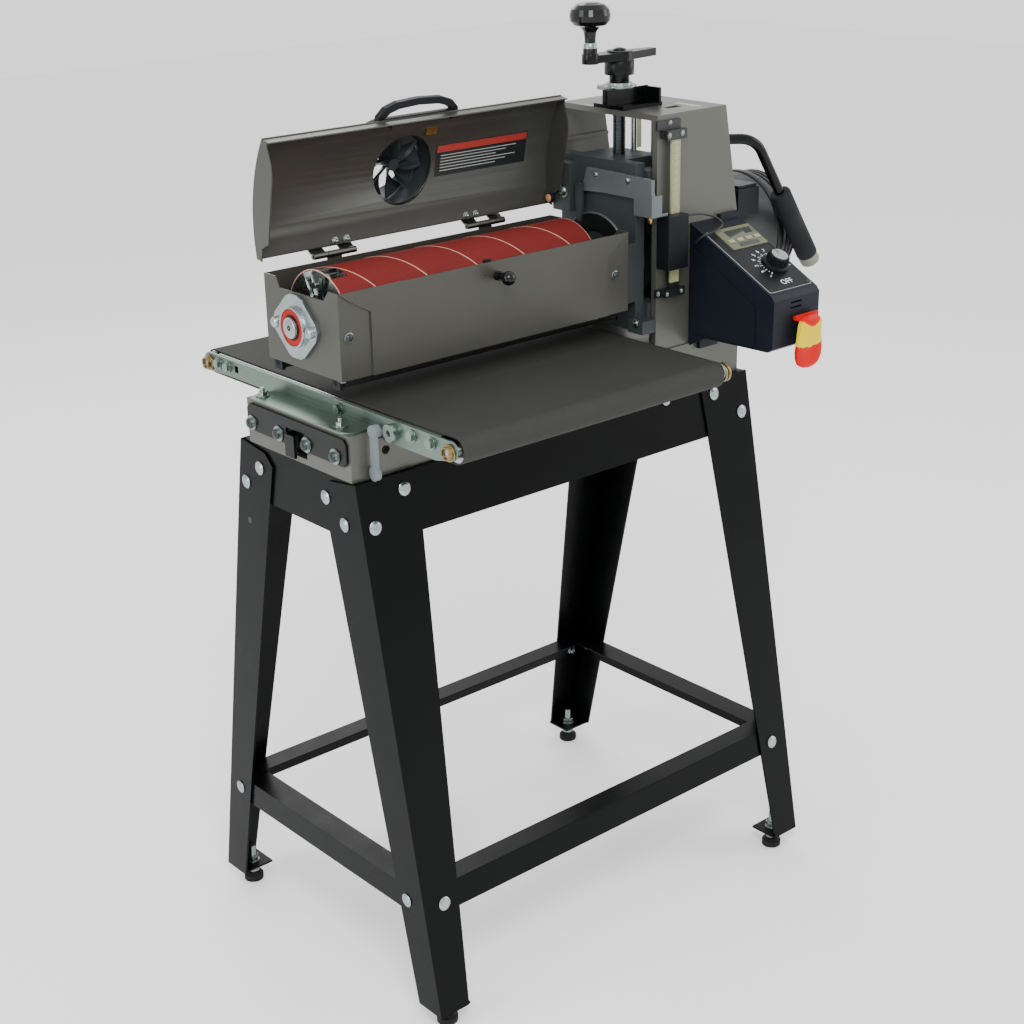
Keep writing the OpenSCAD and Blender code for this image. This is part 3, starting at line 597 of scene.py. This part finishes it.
# ---------------------------------------------------------------- the free signal lead
# from the reader head on the carriage, round in a loop, to the control box
LEAD_POINTS = [(207.3, -131, 962), (222, -131, 962.5), (240, -131.5, 960.5), (256, -133, 956),
               (266, -137, 950.5), (267, -143, 945), (257, -147.5, 941.5), (244, -147.5, 938),
               (234, -142.5, 934.5), (229.5, -136, 929), (230.5, -131, 924), (234, -129, 921.5)]
LEAD_RADIUS = 1.5


def make_lead():
    """The readout's signal cable."""
    path = smooth_path([mm(*p) for p in LEAD_POINTS], 6)
    verts, faces = tube(path, LEAD_RADIUS * MM, 12)
    lead = piece("signal_lead", verts, faces, "lead", None, 60)
    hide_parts("readout_lead")
    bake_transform(lead)


# ---------------------------------------------------------------- drum
DRUM_Y, DRUM_Z, DRUM_R = -21.0, 896.4, 63.4
DRUM_AT = (0, DRUM_Y, DRUM_Z)
# the wrap is wound as a strip: where three turns of its seam cross the top, and its advance in one turn
SEAM_STARTS = (-290.3, -211.3, -132.3)
SEAM_LEAD = 237.0
SEAM_STEP = 5
WRAP_FROM, WRAP_TO = -309.5, 93.5
# the seam's cross-section: along the drum, and above the wrap
SEAM_SECTION = ((-0.9, 0.02), (-0.5, 0.22), (0.5, 0.22), (0.9, 0.02))


def seam(start):
    """One winding of the wrap's raised seam."""
    verts = []
    for step in range(-100, 161):
        angle = math.radians(step * SEAM_STEP)
        x = start + SEAM_LEAD * step * SEAM_STEP / 360
        if not WRAP_FROM < x < WRAP_TO:
            continue
        for side, lift in SEAM_SECTION:
            r = DRUM_R + lift
            verts.append(mm(x + side, DRUM_Y - r * math.sin(angle), DRUM_Z + r * math.cos(angle)))
    faces = skin(len(verts) // 4, 4)
    faces += [(3, 2, 1, 0), tuple(range(len(verts) - 4, len(verts)))]
    return verts, faces


def make_drum():
    """The seams and edges of the wrap, and the end of the shaft with its centre mark."""
    piece("wrap_seams", *joined(*(seam(start) for start in SEAM_STARTS)), "seam", "drum", 60)
    edge, other = (ring(DRUM_R - 1.4, DRUM_R + 0.1, x, x + 0.9, DRUM_AT, X_AXIS, 96, 0.2)
                   for x in (-310.9, 94.6))
    piece("wrap_edges", *joined(edge, other), "seam", "drum", 60)
    shaft = lathe([(0.02, -354.6), (9.5, -354.6), (11.6, -353.6), (12.9, -352.2), (12.9, -349.5)],
                  DRUM_AT, X_AXIS)
    piece("shaft_end", *shaft, "steel_x", "drum", 40)
    centre = lathe([(0.02, -354.4), (2.6, -355.0), (3.2, -354.8), (3.4, -354.4)], DRUM_AT, X_AXIS, 24)
    piece("shaft_centre", *centre, "black_matt", "drum", 40)


def make_bearing():
    """The flange bearing's seal, races and two bolts, outside the CAD flange."""
    seal = ring(15.4, 22.3, -350.6, -348.9, DRUM_AT, X_AXIS, 72, 0.6)
    inner = ring(13.1, 15.2, -350.9, -348.9, DRUM_AT, X_AXIS, 72, 0.3)
    rim = ring(22.6, 25.0, -351.6, -350.6, DRUM_AT, X_AXIS, 72, 0.4)
    piece("bearing_seal", *seal, "seal", "head", 40)
    piece("bearing_inner", *inner, "black_matt", "head", 40)
    piece("bearing_rim", *rim, "bright_zinc", "head", 40)
    bolts = [dome(6.4, 2.6, (-351.0, DRUM_Y + y, DRUM_Z), (-1, 0, 0), 32, 0.6) for y in (-36, 36)]
    piece("bearing_bolts", *joined(*bolts), "bright_zinc", "head", 50)


# ---------------------------------------------------------------- dust cover
# the centre line and inside radius of the cover's arc
COVER_Y, COVER_Z, COVER_R = -152.1, 1002.6, 209.5


def cover_patch(x0, x1, z0, z1, low, high, steps=12):
    """A plate bent to the inside of the cover, between two depths off its face."""
    a0 = math.asin((z0 - COVER_Z) / COVER_R)
    a1 = math.asin((z1 - COVER_Z) / COVER_R)
    verts = []
    for i in range(steps + 1):
        a = a0 + (a1 - a0) * i / steps
        for x, depth in ((x0, low), (x1, low), (x1, high), (x0, high)):
            r = COVER_R - depth
            verts.append(mm(x, COVER_Y + r * math.cos(a), COVER_Z + r * math.sin(a)))
    faces = skin(steps + 1, 4)
    faces += [(3, 2, 1, 0), tuple(range(steps * 4, steps * 4 + 4))]
    return verts, faces


PORT_X = -119
PORT_TILT = math.radians(11.5)


def in_port(u, v, w):
    """The dust port's frame: u along X, v out along the port, w across."""
    cos, sin = math.cos(PORT_TILT), math.sin(PORT_TILT)
    return PORT_X + u, COVER_Y + v * cos - w * sin, COVER_Z + v * sin + w * cos


VANES = 8
VANE_ROOT, VANE_TIP = 7.5, 45
VANE_ROWS, VANE_COLUMNS = 13, 7
VANE_SWEEP = math.radians(50)


def vane(start):
    """One guide vane: a curved blade 1 mm thick from the hub out to the wall of the port."""
    verts, faces = [], []
    for i in range(VANE_ROWS):
        r = VANE_ROOT + (VANE_TIP - VANE_ROOT) * i / (VANE_ROWS - 1)
        for j in range(VANE_COLUMNS):
            t = j / (VANE_COLUMNS - 1)
            a = start + VANE_SWEEP * t * (0.85 + 0.15 * r / VANE_TIP) + 0.012 * (r - VANE_ROOT)
            v = 229 + 15 * t + 2.5 * math.sin(math.pi * t)
            for thick in (0, 1.0):
                verts.append(mm(*in_port(r * math.cos(a), v + thick, r * math.sin(a))))
    row = 2 * VANE_COLUMNS
    for i in range(VANE_ROWS - 1):
        for j in range(VANE_COLUMNS - 1):
            for side in (0, 1):
                a = i * row + 2 * j + side
                faces.append((a, a + 2, a + row + 2, a + row))
    for i in range(VANE_ROWS - 1):
        for j in (0, VANE_COLUMNS - 1):
            a = i * row + 2 * j
            faces.append((a, a + 1, a + row + 1, a + row))
    for j in range(VANE_COLUMNS - 1):
        for i in (0, VANE_ROWS - 1):
            a = i * row + 2 * j
            faces.append((a, a + 1, a + 3, a + 2))
    return verts, faces


def make_vanes():
    """The guide vanes in the dust port and its rim inside the cover."""
    blades = [vane(math.radians(360 / VANES * k + 10)) for k in range(VANES)]
    piece("port_vanes", *joined(*blades), "port", "cover", 40)
    profile = [(45.9, 211.0), (45.9, 214.5), (47.6, 214.5), (47.6, 211.4), (47.2, 210.4), (46.3, 210.4),
               (45.9, 211.0)]
    out = Vector(in_port(0, 1, 0)) - Vector(in_port(0, 0, 0))
    verts, faces = lathe(profile, (PORT_X, COVER_Y, COVER_Z), out, 96)
    piece("port_rim", verts, faces[:-2], "hinge", "cover", 40)


def inner_face(z):
    """The y of the cover's inside at a height."""
    return COVER_Y + COVER_R * math.cos(math.asin((z - COVER_Z) / COVER_R))


HINGE_Y, HINGE_Z = 47, 957
HINGE_XS = (-235, 10.5)
KNUCKLE_SHIFT, KNUCKLE_HALF, LEAF_HALF = 22, 10.6, 32
# the leaf's section in (y, z): from the pin, under the cover's edge, and up its outer face
LEAF = [(49.5, 960.4), (52, 960.8), (57.3, 964.4), (58.4, 975), (59.1, 984), (60.5, 984), (59.8, 974.6),
        (58.6, 963.2), (52.6, 959.2), (49.8, 958.8)]


def across(u, v, w):
    """Puts a (y, z) outline across the machine, at w along X."""
    return w, u, v


def make_hinges():
    """The moving leaves: knuckles, and a leaf that passes under the cover's edge to its outer face."""
    at = (0, HINGE_Y, HINGE_Z)
    parts = []
    for x in HINGE_XS:
        for middle in (x - KNUCKLE_SHIFT, x + KNUCKLE_SHIFT):
            low, high = middle - KNUCKLE_HALF, middle + KNUCKLE_HALF
            parts.append(ring(1.9, 4.0, low, high, at, X_AXIS, 40, 0.3))
            parts.append(prism(LEAF[:3] + LEAF[7:], low, high, across))
        parts.append(prism(LEAF[2:8], x - LEAF_HALF, x + LEAF_HALF, across))
    leaves = piece("hinge_leaves", *joined(*parts), "hinge", "cover", 35)
    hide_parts("hinge_moving")


HANDLE_SCREW_Z = 1107
HINGE_NUT_Z = 969.5
HINGE_NUT_XS = (-227.4, -210.1, -15.7, 1.1)
BUMPER_AT = (125.0, 47.0, 974.0)


def make_cover():
    """What is on the inside of the open cover: label, latch plate, screws, hinge nuts and bumper."""
    piece("label_plate", *cover_patch(-66, 88, 1028, 1069, 0.05, 0.45), "label", "cover", 30)
    piece("label_band", *cover_patch(-65, 87, 1059, 1068, 0.45, 0.62), "label_red", "cover", 30)
    lines = [cover_patch(-58, 70 - 17 * (k % 3), z, z + 1.0, 0.45, 0.55, 2)
             for k, z in enumerate((1054, 1050, 1046, 1042, 1038, 1034))]
    piece("label_rules", *joined(*lines), "label_grey", "cover", 30)
    piece("keeper_brass", *cover_patch(-92, -74, 1086.5, 1095, 0.05, 1.8, 4), "brass", "cover", 30)
    piece("keeper_base", *cover_patch(-150, -98, 1099, 1105, 0.05, 1.0, 4), "sheet_in", "cover", 30)
    y, z = inner_face(HANDLE_SCREW_Z), HANDLE_SCREW_Z
    screws = [dome(3.6, 2.0, (x, y, z), (0, -1, -0.45), 24, 0.5) for x in (-154, -56)]
    piece("handle_screws", *joined(*screws), "screw", "cover", 50)
    y, z, inward = inner_face(HINGE_NUT_Z), HINGE_NUT_Z, (0, -1, 0.16)
    nuts = []
    for x in HINGE_NUT_XS:
        nuts.append(lathe([(5.2, 0.0), (5.2, 0.9), (4.6, 1.2)], (x, y, z), inward, 28))
        nuts.append(lathe([(4.2, 1.0), (4.2, 3.2), (3.4, 3.7)], (x, y, z), inward, 6))
        nuts.append(dome(2.6, 2.0, (x, y - 3.5, z + 0.5), inward, 20, 0.6))
    piece("hinge_nuts", *joined(*nuts), "zinc", "cover", 35)
    mount = lathe([(7.2, 128.9), (7.2, 124.5), (6.4, 123.6), (5.4, 123.6), (5.4, 125.0)],
                  (0, *BUMPER_AT[1:]), X_AXIS, 40)
    piece("bumper_mount", *mount, "rubber", "cover", 35)
    piece("bumper", *dome(5.4, 1.8, BUMPER_AT, (-1, 0, 0), 40, 1.6), "copper", "cover", 50)


# ---------------------------------------------------------------- trough
TROUGH_FRONT = -105.5
TROUGH_BOTTOM = 844.4
OUT_FRONT, DOWN = (0, -1, 0), (0, 0, -1)


def make_trough():
    """Screws in the front of the drum housing with painted shade for their sockets, the latch's keeper and
    the nuts under it.
    """
    rings, heads, sockets = [], [], []
    for x in (-328, 103):
        face, head, socket = ((x, TROUGH_FRONT - lift, 896) for lift in (0, 1, 3.9))
        rings.append(lathe([(6.6, 0.0), (6.6, 0.8), (5.8, 1.2), (4.0, 1.2)], face, OUT_FRONT, 36))
        heads.append(dome(4.6, 2.6, head, OUT_FRONT, 32, 0.6))
        # each screw gets a small dark hexagon on its head: painted shade standing for its hex socket
        sockets.append(lathe([(1.9, 0.0), (1.9, 0.5), (1.5, 0.6)], socket, OUT_FRONT, 6))
    piece("trough_washers", *joined(*rings), "zinc", "head", 40)
    piece("trough_screws", *joined(*heads), "screw", "head", 50)
    # the dark hexagons are painted shade
    piece("trough_socket_shades", *joined(*sockets), "ink", "head", 30)
    pin = dome(1.7, 0.9, (-120.6, TROUGH_FRONT - 2.4, 936), OUT_FRONT, 20, 0.2)
    piece("trough_pin", *pin, "screw", "head", 50)
    keeper = prism(rounded(10, 6, 1.2), -105.4, -100.4, lambda u, v, w: (-113 + u, w, 949.8 + v))
    piece("latch_keeper", *keeper, "black_matt", "head", 40)
    under = [(x, -96, TROUGH_BOTTOM) for x in (-333, 75)]
    nuts = [lathe([(4.2, 0.0), (4.2, 3.4), (3.4, 4.0)], at, DOWN, 6) for at in under]
    nuts += [lathe([(6.5, 0.0), (6.5, 1.0)], at, DOWN, 28) for at in under]
    piece("trough_nuts", *joined(*nuts), "zinc", "head", 35)


# ---------------------------------------------------------------- column, readout and carriage
def pan_head(radius, at, axis):
    """A washer and a domed screw."""
    lift = Vector(axis).normalized()
    return joined(lathe([(radius * 1.35, 0.0), (radius * 1.35, 0.5), (radius * 1.2, 0.7)], at, axis, 28),
                  dome(radius, radius * 0.55, tuple(Vector(at) + lift * 0.6), axis, 28, 0.4))


SCALE_LEFT, SCALE_RIGHT = 188.6, 203.4
SCALE_FOOT, SCALE_PITCH, SCALE_TICKS = 976, 2.0, 46
TICK_BACK, TICK_FRONT = -123.95, -124.12
BRACKET_SCREWS = [(190, -118, 1085), (181, -126, 1070.5), (205, -126, 1071.5), (181, -126, 860.5),
                  (208, -126, 860.8), (172, -118, 861)]
# radius and place of the bolts in the outboard face of the carriage
CARRIAGE_BOLTS = [(6.6, (133, 26.5, 985.5)), (3.6, (133, 35.0, 1009.0)), (4.6, (142, -106, 823.5)),
                  (3.6, (144, -26.6, 1012.5)), (3.6, (144, -86.7, 1012.5))]
FINGER = [(-6, 30), (6, 30), (8, 0), (5, -20), (-2, -22), (-6, -4)]


def make_column():
    """The marks on the column and scale, the bolts of the carriage and the drive end of the drum, whose black
    ring is partly painted shade.
    """
    tag = prism(rounded(9, 46, 1.5), 1096.0, 1096.3, lambda u, v, w: (267 + u, -76 + v, w))
    piece("column_tag", *tag, "tag", "frame", 30)
    piece("column_strip", *block(229.6, 240.5, -14.6, -13.2, 1036, 1088.3), "scale", "frame", 30)
    ticks = []
    for k in range(SCALE_TICKS):
        z = SCALE_FOOT + SCALE_PITCH * k
        width = 7.5 if k % 5 == 0 else 3.8
        ticks.append(block(SCALE_LEFT, SCALE_LEFT + width, TICK_FRONT, TICK_BACK, z, z + 0.35))
        ticks.append(block(SCALE_RIGHT - 0.7 * width, SCALE_RIGHT, TICK_FRONT, TICK_BACK, z + 1, z + 1.3))
    piece("scale_ticks", *joined(*ticks), "ink", "frame", 30)
    screws = [pan_head(2.7, at, OUT_FRONT) for at in BRACKET_SCREWS]
    piece("bracket_screws", *joined(*screws), "zinc", "frame", 50)
    bolts = [pan_head(radius, at, (-1, 0, 0)) for radius, at in CARRIAGE_BOLTS]
    piece("carriage_bolts", *joined(*bolts), "zinc", "head", 50)
    brass = lathe([(3.4, -0.1), (3.4, 6.0), (2.6, 7.2)], (148, -125, 968), DOWN, 24)
    piece("brass_screw", *brass, "brass", "head", 40)
    # a black ring on the carriage face: partly the drive's black flange ring, partly painted shade for the
    # opening round it in the carriage plate
    piece("drive_end_ring_and_shade", *ring(40, 62, 146.5, 150, DRUM_AT, X_AXIS, 96, 0.8), "black_matt", "head", 40)
    piece("drive_end_rim", *ring(62, 64.5, 145.8, 150, DRUM_AT, X_AXIS, 96, 0.8), "link", "head", 40)
    finger = prism(FINGER, 139.4, 143.6, lambda u, v, w: (w, 3 + u, 968 + v))
    piece("carriage_finger", *finger, "head", "head", 30)


def make_crank():
    """The collar under the knob and the cap on the crank's hub."""
    collar = lathe([(7.4, 1174.6), (8.4, 1175.6), (8.4, 1183.0), (7.4, 1184.2), (5.0, 1184.2)],
                   (139, -21, 0), Z_AXIS, 40)
    piece("knob_collar", *collar, "zinc", "crank", 40)
    piece("hub_cap", *dome(9.0, 3.0, (192, -21, 1170.0), Z_AXIS, 32, 0.6), "black", "crank", 50)


# ---------------------------------------------------------------- control box
# the sloping top of the control box: its rise along Y, and a point it passes through
PANEL_RISE = 0.51
PANEL_Y, PANEL_Z = -119, 944
PANEL_SLOPE = math.atan(PANEL_RISE)
BEZEL_AT = (288.5, -157)
DIAL_AT = (294, -214.5)


def on_panel(x, y):
    """A function that puts local (u, v, w) on the sloping panel about (x, y)."""
    z = PANEL_Z + PANEL_RISE * (y - PANEL_Y)
    cos, sin = math.cos(PANEL_SLOPE), math.sin(PANEL_SLOPE)
    return lambda u, v, w: (x + u, y + v * cos - w * sin, z + v * sin + w * cos)


def panel_plate(name, width, depth, low, high, look):
    """A plate on the sloping panel with an opening for the display."""
    put = on_panel(280, -197)
    outline = rounded(width, depth, 4)
    hole = rounded(69.6, 44.6, 1.5)
    verts, faces = [], []
    for level in (low, high):
        verts += [mm(*put(u, v, level)) for u, v in outline]
        verts += [mm(*put(u + 8.5, v + 44.9, level)) for u, v in hole]
    n = len(outline)
    for i in range(n):
        j = (i + 1) % n
        for base in (0, 2 * n):
            faces.append((base + i, base + j, base + n + j, base + n + i))
        faces.append((i, j, 2 * n + j, 2 * n + i))
        faces.append((n + i, n + j, 3 * n + j, 3 * n + i))
    piece(name, verts, faces, look, "frame", 30)
    return put


def make_panel():
    """The face of the control box with its screws and a light rim of painted highlight round it, and the
    display in the bezel.
    """
    # the light rim under the face plate is a painted highlight along its edge
    panel_plate("face_plate_highlight_rim", 83, 134.5, 0.02, 0.7, "edge_highlight_grey")
    put = panel_plate("panel_face", 81.6, 133, 0.3, 0.95, "panel")
    screws = []
    for u, v in ((-36, -62), (36, -62), (-36, 62), (36, 62)):
        at = Vector(put(u, v, 0.9))
        normal = Vector(put(u, v, 1.9)) - at
        screws.append(dome(1.9, 1.0, tuple(at), tuple(normal), 20, 0.2))
    piece("panel_screws", *joined(*screws), "screw", "frame", 50)
    bezel = on_panel(*BEZEL_AT)
    for name, outline, low, high, u0, v0, look in (
            ("display_glass", rounded(51, 13.4, 0.8), 1.3, 1.9, 5.5, 9, "lcd"),
            ("display_shade", rounded(15, 9.5, 0.5), 1.9, 2.0, 21, 9, "ink"),
            ("bezel_tag", rounded(38, 7.5, 1.0), 2.4, 2.7, 2, -15, "label")):
        patch = prism(outline, low, high, lambda u, v, w: bezel(u0 + u, v0 + v, w))
        piece(name, *patch, look, "frame", 30)


LETTER_LIFT = 1.05


def add_text(name, text, size, put, u, v, turn=0.0):
    """White numerals or letters on the control box, thin and raised, turned in the panel's plane."""
    curve = bpy.data.curves.new(name, "FONT")
    curve.body = text
    curve.size = size * MM
    curve.align_x = "CENTER"
    curve.align_y = "CENTER"
    curve.extrude = 0.0001
    curve.offset = 0.00012
    obj = bpy.data.objects.new(name, curve)
    bpy.context.scene.collection.objects.link(obj)
    origin = mm(*put(u, v, LETTER_LIFT))
    right = (mm(*put(u + 1, v, LETTER_LIFT)) - origin).normalized()
    up = (mm(*put(u, v + 1, LETTER_LIFT)) - origin).normalized()
    normal = right.cross(up)
    along = right * math.cos(turn) + up * math.sin(turn)
    axes = Matrix((along, normal.cross(along), normal)).transposed().to_4x4()
    obj.matrix_world = Matrix.Translation(origin) @ axes
    curve.materials.append(MATERIALS["white"])
    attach(obj, "frame")


# the dial starts at this angle and goes clockwise, with a number at every other tick
DIAL_START = 215
DIAL_PITCH = 11.5
DIAL_TICKS = 21
DIAL_NUMBERS = 8
NUMBER_RADIUS = 31.0
# (radius, height) of the knob; the rows in KNOB_FLUTED are fluted for the fingers
KNOB_ROWS = [(18.6, 1.2), (18.9, 2.0), (18.4, 5.2), (16.2, 6.2), (14.6, 6.6), (14.1, 17.6), (13.2, 18.5),
             (11.8, 18.6)]
KNOB_FLUTED = (4, 5, 6)
KNOB_FLUTES, FLUTE_DEPTH = 24, 0.55
KNOB_SIDES = 96


def make_dial():
    """The ticks, numbers and OFF mark around the speed knob."""
    put = on_panel(*DIAL_AT)
    ticks = []
    for k in range(DIAL_TICKS):
        a = math.radians(DIAL_START - k * DIAL_PITCH)
        inner, outer, half = (21.0, 25.5, 0.6) if k % 2 == 0 else (21.0, 23.5, 0.4)
        c, s = math.cos(a), math.sin(a)
        corner = [(r * c - side * s, r * s + side * c)
                  for r, side in ((inner, half), (inner, -half), (outer, -half), (outer, half))]
        if corner[0][0] < 29 and abs(corner[2][0]) < 30:
            ticks.append(prism(corner, 0.9, LETTER_LIFT, put))
    piece("dial_ticks", *joined(*ticks), "white", "frame", 30)
    for k in range(DIAL_NUMBERS):
        a = math.radians(DIAL_START - k * 2 * DIAL_PITCH)
        add_text(f"dial_number_{k}", str(k + 1), 8.0, put, NUMBER_RADIUS * math.cos(a),
                 NUMBER_RADIUS * math.sin(a), a - math.pi / 2)
    add_text("dial_off", "OFF", 12.5, put, -10.0, -34.0)


def make_knob():
    """The fluted speed knob with its cap and pointer."""
    put = on_panel(*DIAL_AT)
    foot = put(0, 0, 0)
    axis = (Vector(put(0, 0, 1)) - Vector(foot)).normalized()
    side = Vector(X_AXIS)
    up = axis.cross(side).normalized()
    verts = []
    for i, (radius, along) in enumerate(KNOB_ROWS):
        for k in range(KNOB_SIDES):
            a = 2 * math.pi * k / KNOB_SIDES
            r = radius + (FLUTE_DEPTH * math.cos(a * KNOB_FLUTES) if i in KNOB_FLUTED else 0)
            verts.append((Vector(foot) + axis * along + (side * math.cos(a) + up * math.sin(a)) * r) * MM)
    faces = skin(len(KNOB_ROWS), KNOB_SIDES)
    faces.append(tuple(range(KNOB_SIDES)))
    faces.append(tuple(reversed(range(len(verts) - KNOB_SIDES, len(verts)))))
    knob = piece("speed_knob_body", verts, faces, "moulded", "speed", 28)
    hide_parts("speed_knob")
    top = lathe([(0.02, 18.9), (10.4, 18.9), (11.4, 18.7), (11.6, 18.2)], foot, axis, 48)
    piece("speed_knob_cap", *top, "cap_silver", "speed", 30)
    pointer = prism([(-0.7, 3.0), (0.7, 3.0), (0.7, 11.0), (-0.7, 11.0)], 18.88, 19.1, put)
    piece("speed_knob_pointer", *pointer, "ink", "speed", 30)


# ---------------------------------------------------------------- stop paddle
# the right half of the paddle's outline, and where its middle is
PADDLE_EDGE = [(0, 23.5), (9, 23), (16, 19), (20, 12), (21.5, 3), (22.5, -6), (24.5, -16), (25.5, -26),
               (24.5, -35), (20.5, -42.5), (14, -47), (6, -49), (0, -49.3)]
PADDLE_X, PADDLE_Z = 292, 817.5
PADDLE_TOP, PADDLE_FOOT = 23.4, -49.2
PADDLE_FRONT, PADDLE_BACK = -281.6, -277.2
PADDLE_ROWS, PADDLE_COLUMNS = 44, 24


def paddle_half_width(v):
    """Half the paddle's width at a height, from its outline."""
    for (u0, v0), (u1, v1) in zip(PADDLE_EDGE, PADDLE_EDGE[1:]):
        if v1 <= v <= v0:
            return u0 + (u1 - u0) * (v0 - v) / (v0 - v1)
    return 0.0


def paddle_height(row):
    return PADDLE_TOP + (PADDLE_FOOT - PADDLE_TOP) * row / PADDLE_ROWS


def is_yellow(row, column):
    """Whether a patch of the paddle's face lies in its yellow band, which curves at both edges."""
    v = paddle_height(row + 0.5)
    s = -1 + 2 * (column + 0.5) / PADDLE_COLUMNS
    upper = 8.5 + 9.0 * abs(s) ** 1.5
    lower = -16.0 - 4.5 * (1 - s * s)
    return lower < v < upper


def make_paddle():
    """The stop paddle: a cupped shell with a yellow band, and the hinge it turns on."""
    front, back = [], []
    for i in range(PADDLE_ROWS + 1):
        v = paddle_height(i)
        half = max(paddle_half_width(v), 0.6)
        for j in range(PADDLE_COLUMNS + 1):
            s = -1 + 2 * j / PADDLE_COLUMNS
            edge = 1 - abs(s) ** 5
            cup = 2.4 * math.exp(-((v + 26) / 15) ** 2) * (1 - s * s)
            roll = 2.6 * math.exp(-((v - 12) / 12) ** 2)
            fade = min(1.0, (i + 0.4) / 3.0, (PADDLE_ROWS - i + 0.4) / 3.0)
            front.append((PADDLE_X + half * s, PADDLE_FRONT - (2.6 * edge * fade + roll - cup), PADDLE_Z + v))
            back.append((PADDLE_X + half * s * 0.985, PADDLE_BACK, PADDLE_Z + v))
    verts = [mm(*p) for p in front + back]
    row, under = PADDLE_COLUMNS + 1, len(front)
    red, yellow = [], []
    for i in range(PADDLE_ROWS):
        for j in range(PADDLE_COLUMNS):
            a = i * row + j
            (yellow if is_yellow(i, j) else red).append((a, a + row, a + row + 1, a + 1))
            red.append((under + a, under + a + 1, under + a + row + 1, under + a + row))
    for i in range(PADDLE_ROWS):
        for j in (0, PADDLE_COLUMNS):
            a = i * row + j
            near = min(j, PADDLE_COLUMNS - 1)
            (yellow if is_yellow(i, near) else red).append((a, a + row, under + a + row, under + a))
    for j in range(PADDLE_COLUMNS):
        for i in (0, PADDLE_ROWS):
            a = i * row + j
            red.append((a, a + 1, under + a + 1, under + a))
    shell = piece("stop_paddle_shell", verts, red + yellow, "red", "stop_paddle", 50)
    shell.data.materials.append(MATERIALS["yellow"])
    for face in shell.data.polygons[len(red):]:
        face.material_index = 1
    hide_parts("stop_paddle")
    hinge = lathe([(3.2, -22), (3.4, -21.6), (3.4, 21.6), (3.2, 22)], (PADDLE_X, -273.2, 838), X_AXIS, 24)
    web = prism([(-277.5, 841), (-271.5, 840.5), (-271.5, 835), (-277.5, 834)], 272, 312, across)
    piece("stop_paddle_hinge", *joined(hinge, web), "red", "stop_paddle", 40)


# ---------------------------------------------------------------- handle and fasteners
# where the handle's tube turns down, and its fall below the level
HANDLE_CORNER = (355.7, -119.0, 1044.9)
HANDLE_FALL = math.radians(56.5)
GRIP_RADIUS, GRIP_FROM, GRIP_LENGTH, GRIP_STEPS = 15.0, 101, 108, 12


def make_grip():
    """The grip and cap on the end of the handle, and the flange where the tube meets the column."""
    axis = (math.cos(HANDLE_FALL), 0, -math.sin(HANDLE_FALL))
    profile = [(7.3, 97.0), (12.6, 97.2), (14.2, 98.4), (GRIP_RADIUS, GRIP_FROM)]
    for k in range(1, GRIP_STEPS):
        waist = 0.25 * math.sin(math.pi * k / GRIP_STEPS)
        profile.append((GRIP_RADIUS - waist, GRIP_FROM + GRIP_LENGTH * k / GRIP_STEPS))
    profile += [(GRIP_RADIUS, 211.5), (14.6, 213.6), (14.0, 214.4)]
    sleeve = piece("grip_sleeve", *lathe(profile, HANDLE_CORNER, axis, 64), "grip", "frame", 40)
    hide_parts("handle_grip")
    cap = lathe([(13.9, 214.0), (14.1, 214.8), (14.0, 226.5), (13.2, 228.6), (11.4, 229.6), (0.02, 229.9)],
                HANDLE_CORNER, axis, 64)
    piece("grip_cap", *cap, "cap", "frame", 40)
    flange = lathe([(12.5, 0.0), (12.5, 3.0), (11.5, 4.0), (7.1, 4.0)], (289.4, -84.7, 1047.6),
                   (63.7, -33, -2.6), 32)
    piece("handle_flange", *flange, "black", "frame", 40)


PLATE_SCREW_YS = (-90, -30, 30, 90)
PLATE_SCREW_Z = 750


def make_fasteners():
    """The odd bolt in the front rail, a disc of painted shade for a spare hole in a leg, and the screws of
    the end plate with painted shade for their sockets.
    """
    bolt = dome(7.5, 3.0, (180, -126.2, 711.5), (0, -1, 0.18), 32, 0.8)
    piece("rail_bolt", *bolt, "bright_zinc", "frame", 50)
    outward = (-1, 0, 0)
    # a thin dark disc of painted shade stands for the spare hole
    hole = lathe([(4.2, 0.0), (4.2, 0.08), (0.02, 0.08)], (-344.0, 117, 609), outward, 32)
    piece("spare_hole_shade", *hole, "ink", "frame", 30)
    caps = [dome(6.7, 2.0, (-350.6, y, PLATE_SCREW_Z), outward, 32, 0.4) for y in PLATE_SCREW_YS]
    piece("plate_screw_heads", *joined(*caps), "screw", "frame", 50)
    # dark hexagons of painted shade stand for the sockets of the end plate's screws
    sockets = [lathe([(3.3, 0.0), (3.3, 0.5), (2.9, 0.6)], (-352.6, y, PLATE_SCREW_Z), outward, 6)
               for y in PLATE_SCREW_YS]
    piece("plate_socket_shades", *joined(*sockets), "ink", "frame", 30)


make_materials()
make_camera()
make_studio()
make_lead()
dress_cad()
make_drum()
make_bearing()
make_cover()
make_hinges()
make_vanes()
make_trough()
make_column()
make_crank()
make_panel()
make_dial()
make_knob()
make_paddle()
make_grip()
make_fasteners()
